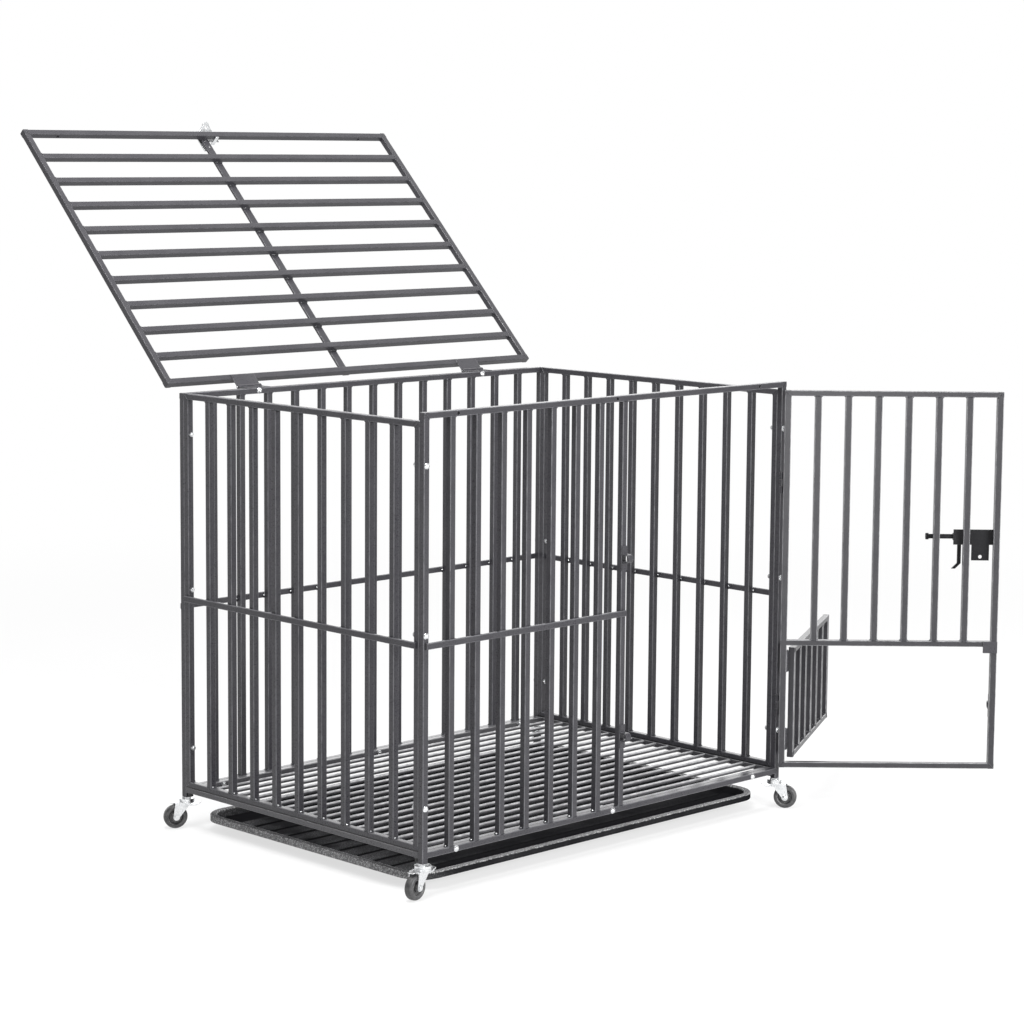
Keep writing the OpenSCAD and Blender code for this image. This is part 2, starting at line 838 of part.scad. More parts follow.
module door_keeper() {
    color(coat) on_door() keeper_at(door_left, hatch_bolt_level);
}

// Plate inside the door at the corner above the hatch, which keeps the hatch from swinging in
module stop_plate() {
    color(coat) on_door() translate([door_left, -inner_depth, hatch_top - rail_height / 2])
        cube([tube + hatch_gap + stop_lap, stop_thickness, cross_rail_top - hatch_top + rail_height / 2]);
}

// Rivets that hold a slide bolt's plate to a bar and a stile
module at_rivets(places, level) {
    for (x = places, side = [-1, 1])
        translate([x, front_face - bolt_plate, level + side * (bolt_plate_height / 2 - rivet_inset)])
            children();
}

module at_door_rivets() {
    at_rivets([door_left + tube / 2, door_left + tube / 2 + door_bar_pitch], door_bolt_level)
        children();
}

module at_hatch_rivets() {
    at_rivets([hatch_left + tube / 2, hatch_left + tube / 2 + hatch_bar_pitch], hatch_bolt_level)
        children();
}

module rivet_drill() {
    rod_y(-overrun, bolt_plate + rivet_depth + drill_play, 0, 0, rivet / 2 + drill_play);
}

module rivet_y() {
    rotate([90, 0, 0]) dome(rivet_head / 2, rivet_rise);
    rod_y(0, bolt_plate + rivet_depth, 0, 0, rivet / 2);
}

// Slide bolt plate from x0 to x1 with a guide loop at each end
module slide_plate(x0, x1, level) {
    translate([x0, front_face - bolt_plate, level - bolt_plate_height / 2])
        cube([x1 - x0, bolt_plate, bolt_plate_height]);
    for (x = [x0, x1 - guide_width])
        loop_at(x, guide_width, level, front_face - bolt_plate, guide_inside, rod_lift - bolt_plate,
            2 * (guide_inside + strap));
}

module door_bolt_plate() {
    ear_low = door_bolt_level - bolt_plate_height / 2 - ear_drop;
    color(black) on_door() difference() {
        union() {
            slide_plate(door_plate_left, door_plate_right, door_bolt_level);
            translate([ear_left, front_face - bolt_plate, ear_low])
                cube([ear_width, bolt_plate, ear_drop + strap]);
        }
        at_door_rivets() rivet_drill();
        rod_y(front_face - 2 * bolt_plate, front_face + overrun, ear_left + ear_width / 2,
            ear_low + padlock_hole, padlock_hole / 2);
    }
}

module door_bolt_rivets() {
    color(black) on_door() at_door_rivets() rivet_y();
}

module hatch_bolt_plate() {
    color(black) on_hatch() difference() {
        slide_plate(hatch_plate_left, hatch_plate_right, hatch_bolt_level);
        at_hatch_rivets() rivet_drill();
    }
}

module hatch_bolt_rivets() {
    color(black) on_hatch() at_hatch_rivets() rivet_y();
}

// Rod with a knob at its tail
module slide_rod(tip, length, level) {
    rod_x(tip, tip + length, front_face - rod_lift, level, rod_radius);
    rod_x(tip + length, tip + length + knob_length, front_face - rod_lift, level, knob_radius);
}

module door_bolt_rod() {
    color(black) on_door() slide_rod(door_rod_tip, door_bolt_length, door_bolt_level);
}

module hatch_bolt_rod() {
    color(black) on_hatch() slide_rod(hatch_rod_tip, hatch_bolt_length, hatch_bolt_level);
}

// Handle: a collar on the rod and a flat lever that hangs from it, with a leaning tip
module slide_handle(x, level) {
    difference() {
        union() {
            rod_x(x, x + handle_width, front_face - rod_lift, level, collar);
            translate([x, front_face - rod_lift - handle_thickness / 2, level - handle_drop + tip_lean])
                cube([handle_width, handle_thickness, handle_drop - tip_lean]);
            translate([x, front_face - rod_lift + handle_thickness / 2, level - handle_drop + tip_lean])
                rotate([90, 0, 0]) linear_extrude(handle_thickness)
                    polygon([[0, 0], [handle_width, 0], [handle_width + tip_lean, -tip_lean],
                        [tip_lean, -tip_lean]]);
        }
        rod_x(x - overrun, x + handle_width + overrun, front_face - rod_lift, level, rod_radius + running);
    }
}

module door_bolt_handle() {
    color(black) on_door() slide_handle(door_handle_left, door_bolt_level);
}

module hatch_bolt_handle() {
    color(black) on_hatch()
        slide_handle(hatch_plate_right - guide_width - handle_width - hinge_play, hatch_bolt_level);
}

// Section of the tray's wall and rim, measured outward from the middle of a corner
module tray_section() {
    wall_top = tray_corner - tray_rim;
    wall_low = wall_top - tray_taper;
    skirt_inside = tray_corner - tray_wall;
    skirt_low = tray_top - tray_skirt;
    rim_under = tray_top - tray_wall;
    polygon([[wall_low, tray_base], [wall_top, rim_under], [skirt_inside, rim_under],
        [skirt_inside, skirt_low], [tray_corner, skirt_low],
        [tray_corner, tray_top - tray_edge], [tray_corner - tray_edge, tray_top],
        [wall_top - tray_wall + tray_edge, tray_top], [wall_top - tray_wall, tray_top - tray_edge],
        [wall_low - tray_wall, tray_base + tray_wall], [wall_low - tray_wall, tray_base]]);
}

// Wall of the tray along one straight side, centred on the origin and standing off it by reach
module tray_side(length, reach) {
    translate([-length / 2, 0, 0]) rotate([90, 0, 90]) linear_extrude(length)
        translate([reach, 0]) tray_section();
}

// Raised ribs of the tray's floor
module tray_rib_rows() {
    rib_length = tray_length - 2 * (tray_rim + tray_taper + rib_pitch / 2);
    for (i = [0 : tray_ribs - 1])
        translate([-rib_length / 2, (i - (tray_ribs - 1) / 2) * rib_pitch - rib_width / 2,
            tray_base + tray_wall / 2])
            cube([rib_length, rib_width, tray_wall / 2 + rib_rise]);
}

module tray() {
    run_x = tray_length - 2 * tray_corner;
    run_y = tray_depth - 2 * tray_corner;
    floor_corner = tray_corner - tray_rim - tray_taper - tray_wall / 2;
    color(black) union() {
        for (turn = [0, 180]) rotate([0, 0, turn]) tray_side(run_x, run_y / 2);
        for (turn = [90, 270]) rotate([0, 0, turn]) tray_side(run_y, run_x / 2);
        for (x = [0, 1], y = [0, 1])
            mirror([x, 0, 0]) mirror([0, y, 0]) translate([run_x / 2, run_y / 2, 0])
                rotate_extrude(angle = 90) tray_section();
        translate([0, 0, tray_base]) linear_extrude(tray_wall) union() {
            square([run_x + 2 * floor_corner, run_y], center = true);
            square([run_x, run_y + 2 * floor_corner], center = true);
            for (x = [-1, 1], y = [-1, 1])
                translate([x * run_x / 2, y * run_y / 2]) circle(r = floor_corner);
        }
        tray_rib_rows();
        for (side = [-1, 1])
            translate([-tray_length / 2 + skid_inset, side * skid_offset - skid_width / 2, 0])
                cube([tray_length - 2 * skid_inset, skid_width, tray_base + tray_wall / 2]);
    }
}

// Corner i of the crate, turned so that the caster trails along local +X
module at_caster(i) {
    side = i % 2 == 0 ? -1 : 1;
    end = i < 2 ? -1 : 1;
    translate([side * corner_x, end * corner_y, 0]) rotate([0, 0, trail_angles[i]]) children();
}

// Fixed half of each caster: threaded stem, upper race and the rivet that the fork turns on
module caster_stems() {
    color(zinc) for (i = [0 : 3]) at_caster(i) {
        cylinder_between(leg_bottom, leg_bottom + stem_length, caster_stem / 2);
        translate([0, 0, race_bottom + race_height])
            cylinder(h = leg_bottom - race_bottom - race_height, r = head_nut, $fn = 6);
        cylinder_between(race_bottom, race_bottom + race_height, swivel_head);
        cylinder_between(kingpin_shoulder, race_bottom, kingpin);
        cylinder_between(kingpin_shoulder - fork_plate / 2, kingpin_shoulder, kingpin_head);
    }
}

module cylinder_between(z0, z1, radius) {
    translate([0, 0, z0]) cylinder(h = z1 - z0, r = radius);
}

// Plugs under the floor frame, one beside each leg
module tube_plugs() {
    plug_y = inner_depth - tube / 2;
    color(black) for (x = [-1, 1], y = [-1, 1]) translate([x * corner_x, y * plug_y, 0]) {
        cylinder_between(floor_bottom - plug_drop, floor_bottom, plug_radius);
        cylinder_between(floor_bottom - plug_flange_drop, floor_bottom, plug_flange);
    }
}

// Pressed fork: crown plate, two tapered cheeks and a small tab over the wheel
module fork_shape() {
    cheek_top = crown_bottom + fork_plate;
    reach = fork_outside + overrun;
    difference() {
        union() {
            cylinder_between(crown_bottom, crown_top, swivel_head);
            translate([fork_back, -fork_outside, crown_bottom])
                cube([fork_front - fork_back, 2 * fork_outside, fork_plate]);
            translate([fork_front, -tab_half, crown_bottom]) cube([tab_length, 2 * tab_half, fork_plate]);
            for (y = [fork_outside, -fork_inside])
                translate([0, y, 0]) rotate([90, 0, 0]) linear_extrude(fork_plate) {
                    polygon([[fork_back, cheek_top], [fork_front, cheek_top],
                        [trail + axle_boss, wheel_radius], [trail - axle_boss, wheel_radius]]);
                    translate([trail, wheel_radius]) circle(r = axle_boss);
                }
        }
        cylinder_between(crown_bottom - overrun, crown_top + overrun, kingpin + running);
        rod_y(-reach, reach, trail, wheel_radius, axle + running);
        rod_y(-reach, reach, brake_x, brake_z, brake_pin + running);
    }
}

// Wheel with a raised hub, a thinner web and a round-shouldered tread
module wheel_shape() {
    half = wheel_width / 2;
    edge = wheel_radius - shoulder;
    translate([trail, 0, wheel_radius]) rotate([90, 0, 0]) rotate_extrude() union() {
        translate([axle + running, -half]) square([hub - axle - running, wheel_width]);
        translate([axle + running, -web_half]) square([edge - axle - running, 2 * web_half]);
        translate([rim_inner, -half]) square([edge - rim_inner, wheel_width]);
        translate([rim_inner, shoulder - half])
            square([wheel_radius - rim_inner, wheel_width - 2 * shoulder]);
        for (side = [-1, 1]) translate([edge, side * (half - shoulder)]) circle(r = shoulder);
    }
}

// Axle with a domed head on one side and a nut on the other
module axle_shape() {
    translate([trail, 0, wheel_radius]) {
        rod_y(-fork_outside, fork_outside, 0, 0, axle);
        translate([0, -fork_outside, 0]) rotate([90, 0, 0]) dome(axle_head, axle_head_rise);
        translate([0, fork_outside, 0]) rotate([-90, 0, 0])
            cylinder(h = axle_head_rise, r = axle_head, $fn = 6);
    }
}

// Brake lever that turns on a pin between the cheeks, ahead of the wheel, with an upturned end
module brake_shape() {
    half = fork_inside - brake_side_gap;
    rise = brake_thickness / 2;
    tip = -brake_reach - pad_length * cos(pad_tilt);
    climb = pad_length * sin(pad_tilt);
    translate([brake_x, half, brake_z]) rotate([90, 0, 0]) linear_extrude(2 * half) difference() {
        union() {
            polygon([[0, -rise], [0, rise], [-brake_reach, rise], [tip, climb + rise], [tip, climb - rise],
                [-brake_reach, -rise]]);
            circle(r = brake_boss);
        }
        circle(r = brake_pin + running);
    }
}

module brake_pin_shape() {
    rod_y(-fork_outside, fork_outside, brake_x, brake_z, brake_pin);
}

module fork_front_left() { color(zinc) at_caster(0) fork_shape(); }
module fork_front_right() { color(zinc) at_caster(1) fork_shape(); }
module fork_back_left() { color(zinc) at_caster(2) fork_shape(); }
module fork_back_right() { color(zinc) at_caster(3) fork_shape(); }
module wheel_front_left() { color(tread) at_caster(0) wheel_shape(); }
module wheel_front_right() { color(tread) at_caster(1) wheel_shape(); }
module wheel_back_left() { color(tread) at_caster(2) wheel_shape(); }
module wheel_back_right() { color(tread) at_caster(3) wheel_shape(); }
module axle_front_left() { color(zinc) at_caster(0) axle_shape(); }
module axle_front_right() { color(zinc) at_caster(1) axle_shape(); }
module axle_back_left() { color(zinc) at_caster(2) axle_shape(); }
module axle_back_right() { color(zinc) at_caster(3) axle_shape(); }
module brake_front_left() { color(zinc) at_caster(0) brake_shape(); }
module brake_front_right() { color(zinc) at_caster(1) brake_shape(); }
module brake_back_left() { color(zinc) at_caster(2) brake_shape(); }
module brake_back_right() { color(zinc) at_caster(3) brake_shape(); }
module brake_pin_front_left() { color(zinc) at_caster(0) brake_pin_shape(); }
module brake_pin_front_right() { color(zinc) at_caster(1) brake_pin_shape(); }
module brake_pin_back_left() { color(zinc) at_caster(2) brake_pin_shape(); }
module brake_pin_back_right() { color(zinc) at_caster(3) brake_pin_shape(); }

front_panel();
back_panel();
left_panel();
right_panel();
floor_grid();
corner_bolts();
corner_nuts();
floor_bolts();
floor_nuts();
lid_hinge_plates();
lid_hinge_pins();
lid_hinge_bolts();
lid_hinge_nuts();
door_hinge_plates();
door_hinge_pins();
upper_keeper();
lower_keeper();
caster_stems();
lid_frame();
lid_hinge_leaves();
lid_hasp();
lid_hasp_rivets();
door_frame();
door_hinge_leaves();
hatch_hinge_plates();
hatch_hinge_pins();
door_keeper();
stop_plate();
door_bolt_plate();
door_bolt_rivets();
door_bolt_rod();
door_bolt_handle();
hatch_frame();
hatch_hinge_leaves();
hatch_bolt_plate();
hatch_bolt_rivets();
hatch_bolt_rod();
hatch_bolt_handle();
tray();
fork_front_left();
fork_front_right();
fork_back_left();
fork_back_right();
wheel_front_left();
wheel_front_right();
wheel_back_left();
wheel_back_right();
axle_front_left();
axle_front_right();
axle_back_left();
axle_back_right();
brake_front_left();
brake_front_right();
brake_back_left();
brake_back_right();
brake_pin_front_left();
brake_pin_front_right();
brake_pin_back_left();
brake_pin_back_right();
tube_plugs();
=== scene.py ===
"""Looks of a rolling dog crate: powder-coated tube with weld beads, zinc fittings and a grained tray.

Metres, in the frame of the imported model. Lid, door and hatch stand open at rest, so what belongs to them is
laid out closed, as on the bench, and then carried to where its hinge holds it open.
"""

import json
import math

import bmesh
import bpy
from mathutils import Matrix, Vector


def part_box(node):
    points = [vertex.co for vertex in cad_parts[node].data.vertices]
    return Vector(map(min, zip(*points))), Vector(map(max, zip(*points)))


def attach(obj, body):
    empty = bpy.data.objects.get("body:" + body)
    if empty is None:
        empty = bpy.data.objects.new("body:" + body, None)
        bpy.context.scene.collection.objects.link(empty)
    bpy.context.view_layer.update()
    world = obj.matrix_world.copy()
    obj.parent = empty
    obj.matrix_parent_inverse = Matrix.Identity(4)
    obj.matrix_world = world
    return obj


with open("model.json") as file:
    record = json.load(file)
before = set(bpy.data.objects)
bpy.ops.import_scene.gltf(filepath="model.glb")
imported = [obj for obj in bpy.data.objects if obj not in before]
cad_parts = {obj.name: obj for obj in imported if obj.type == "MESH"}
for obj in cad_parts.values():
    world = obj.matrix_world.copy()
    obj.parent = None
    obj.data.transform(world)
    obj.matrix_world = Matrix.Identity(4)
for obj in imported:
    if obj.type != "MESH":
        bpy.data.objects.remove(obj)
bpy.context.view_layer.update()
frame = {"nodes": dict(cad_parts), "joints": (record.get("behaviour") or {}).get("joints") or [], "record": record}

X = Vector((1, 0, 0))
Y = Vector((0, 1, 0))
Z = Vector((0, 0, 1))
UPRIGHT = Matrix.Identity(3)

# Camera, angles in degrees, sensor and lens in millimetres
CAMERA_PLACE = (-3.950, -4.120, 1.4447)
CAMERA_AZIMUTH = -45.446
CAMERA_FALL = 6.729
CAMERA_ROLL = 0.5855
CAMERA_SENSOR = 36.0
CAMERA_LENS = 95.80
CAMERA_SHIFT = (-0.0532, -0.0511)

# Tubes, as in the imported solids
TUBE = 0.014
HALF_TUBE = TUBE / 2
RAIL = 0.012
BRACE_HEIGHT = 0.0125
LID_BRACE_WIDTH = 0.0195
LID_BRACE_MIDDLE = -0.0265
NEAR_BRACE_LEVEL = 0.488
FAR_BRACE_LEVEL = 0.469
POST_MIDDLE = 0.024
DOOR_GAP = 0.006
DOOR_GAP_TOP = 0.004
DOOR_GAP_BOTTOM = 0.008
CROSS_RAIL = 0.364
HATCH_GAP = 0.003
HATCH_GAP_END = 0.007
LID_GAP = 0.0015
FRONT_BARS = 7
BACK_BARS = 13
END_BARS = 9
LID_BARS = 9
DOOR_BARS = 6
HATCH_BARS = 5
RIB_TOP = 0.0195
ROD_DROP = 0.0012

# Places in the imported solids
tray_low, tray_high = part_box("tray")
front_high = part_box("front_panel")[1]
floor_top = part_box("floor_grid")[1].z
rod_top = floor_top - ROD_DROP / 2
front_top = front_high.z
frame_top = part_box("back_panel")[1].z
half_length = front_high.x
half_depth = TUBE - front_high.y
inner_depth = half_depth - TUBE
front_y = -half_depth + HALF_TUBE
end_x = half_length - HALF_TUBE
door_x = (POST_MIDDLE + HALF_TUBE + DOOR_GAP, half_length - TUBE - DOOR_GAP)
door_z = (floor_top + DOOR_GAP_BOTTOM, front_top - RAIL - DOOR_GAP_TOP)
hatch_x = (door_x[0] + TUBE + HATCH_GAP, door_x[1] - TUBE - HATCH_GAP)
hatch_z = (door_z[0] + RAIL + HATCH_GAP_END, CROSS_RAIL - HATCH_GAP_END)


def carried_open(name, limit):
    """Matrix that takes a closed piece to where the named hinge holds it at rest."""
    hinge = next(j for j in frame["joints"] if j["name"] == name)
    pivot = Vector(hinge["pos_m"])
    turn = Matrix.Rotation(-math.radians(hinge["range_deg"][limit]), 4, Vector(hinge["axis"]))
    return Matrix.Translation(pivot) @ turn @ Matrix.Translation(-pivot)


lid_open = carried_open("lid_hinge", 1)
door_open = carried_open("door_hinge", 0)
hatch_open = carried_open("hatch_hinge", 0) @ door_open


# Shader steps. A band holds the value at which a mask starts and the value at which it is full.
BEVEL_SAMPLES = 6


def new_material(name):
    material = bpy.data.materials.new(name)
    material.use_nodes = True
    tree = material.node_tree
    tree.nodes.clear()
    output = tree.nodes.new("ShaderNodeOutputMaterial")
    shader = tree.nodes.new("ShaderNodeBsdfPrincipled")
    tree.links.new(shader.outputs["BSDF"], output.inputs["Surface"])
    return material, tree, shader


def noise(tree, scale, detail):
    place = tree.nodes.new("ShaderNodeTexCoord")
    texture = tree.nodes.new("ShaderNodeTexNoise")
    texture.inputs["Scale"].default_value = scale
    texture.inputs["Detail"].default_value = detail
    tree.links.new(place.outputs["Object"], texture.inputs["Vector"])
    return texture.outputs["Fac"]


def cells(tree, scale):
    place = tree.nodes.new("ShaderNodeTexCoord")
    texture = tree.nodes.new("ShaderNodeTexVoronoi")
    texture.inputs["Scale"].default_value = scale
    tree.links.new(place.outputs["Object"], texture.inputs["Vector"])
    return texture.outputs["Distance"]


def spread(tree, value, low, high, to_low=0.0, to_high=1.0):
    """Map a value from low..high to to_low..to_high, held at both ends."""
    node = tree.nodes.new("ShaderNodeMapRange")
    node.inputs["From Min"].default_value = low
    node.inputs["From Max"].default_value = high
    node.inputs["To Min"].default_value = to_low
    node.inputs["To Max"].default_value = to_high
    tree.links.new(value, node.inputs["Value"])
    return node.outputs["Result"]


def scaled(tree, mask, low, high):
    """A mask whose 0 becomes low and whose 1 becomes high."""
    return spread(tree, mask, 0.0, 1.0, low, high)


def between(tree, amount, first, second):
    """Colour between two colours or sockets, by amount."""
    node = tree.nodes.new("ShaderNodeMix")
    node.data_type = "RGBA"
    tree.links.new(amount, node.inputs["Factor"])
    for socket, colour in ((node.inputs["A"], first), (node.inputs["B"], second)):
        if isinstance(colour, tuple):
            socket.default_value = (*colour, 1.0)
        else:
            tree.links.new(colour, socket)
    return node.outputs["Result"]


def combined(tree, operation, *values):
    """Values put through one Math operation, from left to right."""
    result = values[0]
    for value in values[1:]:
        node = tree.nodes.new("ShaderNodeMath")
        node.operation = operation
        tree.links.new(result, node.inputs[0])
        tree.links.new(value, node.inputs[1])
        result = node.outputs["Value"]
    return result


def size_of(tree, value):
    node = tree.nodes.new("ShaderNodeMath")
    node.operation = "ABSOLUTE"
    tree.links.new(value, node.inputs[0])
    return node.outputs["Value"]


def bumped(tree, height, strength, distance, normal):
    node = tree.nodes.new("ShaderNodeBump")
    node.inputs["Strength"].default_value = strength
    node.inputs["Distance"].default_value = distance
    tree.links.new(height, node.inputs["Height"])
    tree.links.new(normal, node.inputs["Normal"])
    return node.outputs["Normal"]


def soft_edges(tree, radius, start, full):
    """Normal that rounds the edges over, and a mask that is bright along them.

    start and full are cosines of the turn that the rounding gives the normal.
    """
    bevel = tree.nodes.new("ShaderNodeBevel")
    bevel.samples = BEVEL_SAMPLES
    bevel.inputs["Radius"].default_value = radius
    geometry = tree.nodes.new("ShaderNodeNewGeometry")
    dot = tree.nodes.new("ShaderNodeVectorMath")
    dot.operation = "DOT_PRODUCT"
    tree.links.new(bevel.outputs["Normal"], dot.inputs[0])
    tree.links.new(geometry.outputs["True Normal"], dot.inputs[1])
    return bevel.outputs["Normal"], spread(tree, dot.outputs["Value"], start, full)


def bench_normal(tree, turn):
    """Face normal in the frame in which the piece lies closed, as on the bench."""
    geometry = tree.nodes.new("ShaderNodeNewGeometry")
    local = tree.nodes.new("ShaderNodeVectorTransform")
    local.vector_type = "NORMAL"
    local.convert_from = "WORLD"
    local.convert_to = "OBJECT"
    tree.links.new(geometry.outputs["True Normal"], local.inputs["Vector"])
    back = tree.nodes.new("ShaderNodeMapping")
    back.vector_type = "VECTOR"
    back.inputs["Rotation"].default_value = turn.inverted().to_euler()
    tree.links.new(local.outputs["Vector"], back.inputs["Vector"])
    split = tree.nodes.new("ShaderNodeSeparateXYZ")
    tree.links.new(back.outputs["Vector"], split.inputs["Vector"])
    return split.outputs


def facing(tree, axis, start, full):
    """Mask of the faces whose normal along an axis of the rest frame runs from start to full."""
    return spread(tree, bench_normal(tree, UPRIGHT)[axis], start, full)


def own_place(tree, axis):
    """Where the piece's own points lie along an axis of the rest frame."""
    place = tree.nodes.new("ShaderNodeTexCoord")
    split = tree.nodes.new("ShaderNodeSeparateXYZ")
    tree.links.new(place.outputs["Object"], split.inputs["Vector"])
    return split.outputs[axis]


# Powder coat. A coat holds its dark, light and edge colours and its roughness. Noises are given as scale and
# detail, bumps as strength and depth.
COAT_DARK = (0.028, 0.027, 0.032)
COAT_LIGHT = (0.038, 0.037, 0.042)
# Pale edge colour: partly a thin coat with wear along the edges, partly a painted highlight on their rounding; the
# lid's coat has a dimmer one.
PALE_EDGE_AND_HIGHLIGHT = (0.13, 0.13, 0.14)
CRATE_COAT = (COAT_DARK, COAT_LIGHT, PALE_EDGE_AND_HIGHLIGHT, 0.30)
LID_COAT = (COAT_DARK, COAT_LIGHT, (0.060, 0.059, 0.065), 0.34)
# Door and hatch coat: a darker, shaded copy of the crate's coat, which is painted shade, with a brighter pale edge
# as a stronger painted highlight.
SHADED_DOOR_COAT = ((0.020, 0.0195, 0.023), (0.028, 0.0273, 0.031), (0.26, 0.26, 0.27), 0.34)
# Floor grid coat: a lighter, lit copy of the crate's coat, which is painted light.
LIT_FLOOR_COAT = ((0.054, 0.053, 0.058), (0.066, 0.065, 0.070), PALE_EDGE_AND_HIGHLIGHT, 0.30)
LATCH_COAT = ((0.007, 0.007, 0.008), (0.012, 0.012, 0.013), (0.12, 0.12, 0.125), 0.50)
PLUG_COAT = ((0.012, 0.012, 0.013), (0.020, 0.020, 0.021), (0.08, 0.08, 0.08), 0.45)
WELD_COAT = ((0.010, 0.010, 0.011), (0.020, 0.020, 0.022), (0.08, 0.08, 0.09), 0.16)
COAT_SPECULAR = 0.36
LATCH_SPECULAR = 0.12
COAT_BEVEL = 0.0012
COAT_EDGE_BAND = (0.998, 0.93)
TUBE_EDGE_BAND = (0.985, 0.93)
CLOUD_NOISE = (18.0, 4.0)
CLOUD_BAND = (0.3, 0.7)
FINE_NOISE = (420.0, 2.0)
FINE_BAND = (0.35, 0.65)
PATCH_NOISE = (60.0, 3.0)
PATCH_BAND = (0.35, 0.7)
PATCH_SHARES = (0.45, 1.0)
SPECK_SHARE = 0.05
GLOSS_BELOW = 0.04
GLOSS_ABOVE = 0.06
PEEL_NOISE = (900.0, 1.0)
PEEL_BUMP = (0.16, 0.0002)
# Painted highlight on the floor grid's upward faces, full on the rods and weaker on the frame, where the light
# from above falls.
TOP_HIGHLIGHT = (0.38, 0.38, 0.39)
TOP_HIGHLIGHT_BAND = (0.2, 0.65)
TOP_HIGHLIGHT_FRAME_SHARE = 0.15
ROD_BLEND = 0.0004
# Painted shade: a dark line where an end panel stands on the floor grid.
JOINT_SHADE = (0.004, 0.004, 0.004)
JOINT_LINE = 0.0020
JOINT_FADE = 0.0008


def tube_edges(tree, turn):
    """Mask of the rounded edges of square tubes, whose faces lie along the bench's axes; the pale edge laid on it
    is partly a painted highlight.
    """
    normal = bench_normal(tree, turn)
    largest = combined(tree, "MAXIMUM", *[size_of(tree, axis) for axis in normal])
    return spread(tree, largest, *TUBE_EDGE_BAND)


def powder_coat(name, dark, light, edge, roughness, turn=None, top_highlight=None, joint_level=None,
                specular=COAT_SPECULAR):
    """Satin powder coat: orange peel, faint cloudiness, and pale edges, partly a thin coat with wear and partly a
    painted highlight along the rounding.

    turn is the rotation that holds a tube frame open. The colour for tops is a painted highlight on upward faces,
    where the light from above falls, in patches.
    joint_level is the height at which the piece stands on another, with a painted line of shade along the joint.
    """
    material, tree, shader = new_material(name)
    normal, mask = soft_edges(tree, COAT_BEVEL, *COAT_EDGE_BAND)
    if turn is not None:
        mask = combined(tree, "MAXIMUM", mask, tube_edges(tree, turn))
    cloud = spread(tree, noise(tree, *CLOUD_NOISE), *CLOUD_BAND)
    fine = spread(tree, noise(tree, *FINE_NOISE), *FINE_BAND)
    patchy = spread(tree, noise(tree, *PATCH_NOISE), *PATCH_BAND, *PATCH_SHARES)
    body = between(tree, cloud, dark, light)
    speck = between(tree, scaled(tree, fine, 0.0, SPECK_SHARE), body, edge)
    # Pale edges in patches: a thin coat with wear, and a painted highlight along the rounded edges.
    final_colour = between(tree, combined(tree, "MULTIPLY", mask, patchy), speck, edge)
    # Painted highlight on upward faces, in patches.
    if top_highlight is not None:
        rods = spread(tree, own_place(tree, "Z"), rod_top, rod_top - ROD_BLEND, TOP_HIGHLIGHT_FRAME_SHARE, 1.0)
        lit_tops = combined(tree, "MULTIPLY", facing(tree, "Z", *TOP_HIGHLIGHT_BAND), patchy, rods)
        final_colour = between(tree, lit_tops, final_colour, top_highlight)
    # Painted shade along the joint.
    if joint_level is not None:
        rise = joint_level + JOINT_LINE
        line = spread(tree, own_place(tree, "Z"), rise, rise + JOINT_FADE, 1.0, 0.0)
        final_colour = between(tree, line, final_colour, JOINT_SHADE)
    tree.links.new(final_colour, shader.inputs["Base Color"])
    gloss = scaled(tree, fine, roughness - GLOSS_BELOW, roughness + GLOSS_ABOVE)
    tree.links.new(gloss, shader.inputs["Roughness"])
    shader.inputs["Specular IOR Level"].default_value = specular
    peel = bumped(tree, noise(tree, *PEEL_NOISE), *PEEL_BUMP, normal)
    tree.links.new(peel, shader.inputs["Normal"])
    return material


# Zinc plate
ZINC_DARK = (0.62, 0.63, 0.64)
ZINC_LIGHT = (0.78, 0.79, 0.80)
ZINC_DULL = (0.36, 0.37, 0.38)
ZINC_EDGE_HIGHLIGHT = (0.95, 0.95, 0.96)
ZINC_BEVEL = 0.0006
ZINC_EDGE_BAND = (0.99, 0.80)
SPANGLE_SCALE = 260.0
SPANGLE_BAND = (0.0, 0.6)
HAZE_NOISE = (90.0, 3.0)
HAZE_BAND = (0.3, 0.7)
DULL_BAND = (0.6, 1.0)
DULL_SHARE = 0.45
ZINC_HIGHLIGHT_SHARE = 0.7
ZINC_ROUGHNESS = (0.22, 0.38)
ZINC_BUMP = (0.08, 0.0002)


def zinc_plate(name):
    """Bright zinc: small spangle, brushed haze, a few dull spots and a painted highlight along the edges."""
    material, tree, shader = new_material(name)
    normal, mask = soft_edges(tree, ZINC_BEVEL, *ZINC_EDGE_BAND)
    spangle = spread(tree, cells(tree, SPANGLE_SCALE), *SPANGLE_BAND)
    haze = spread(tree, noise(tree, *HAZE_NOISE), *HAZE_BAND)
    body = between(tree, spangle, ZINC_DARK, ZINC_LIGHT)
    dull = between(tree, spread(tree, haze, *DULL_BAND, 0.0, DULL_SHARE), body, ZINC_DULL)
    # Painted highlight along the edges.
    bright = between(tree, scaled(tree, mask, 0.0, ZINC_HIGHLIGHT_SHARE), dull, ZINC_EDGE_HIGHLIGHT)
    tree.links.new(bright, shader.inputs["Base Color"])
    shader.inputs["Metallic"].default_value = 1.0
    tree.links.new(scaled(tree, haze, *ZINC_ROUGHNESS), shader.inputs["Roughness"])
    tree.links.new(bumped(tree, haze, *ZINC_BUMP, normal), shader.inputs["Normal"])
    return material


# Tray plastic. The rib and rim bands are depths below the tops, the wall band is a run from the left end.
TRAY_BLACK = (0.010, 0.010, 0.011)
# Painted light on the rib crowns towards the left end, where light falls.
TRAY_LIT_RIB = (0.14, 0.14, 0.145)
# Painted highlight on the rim's top and on the left-facing outer wall.
TRAY_HIGHLIGHT = (0.34, 0.34, 0.345)
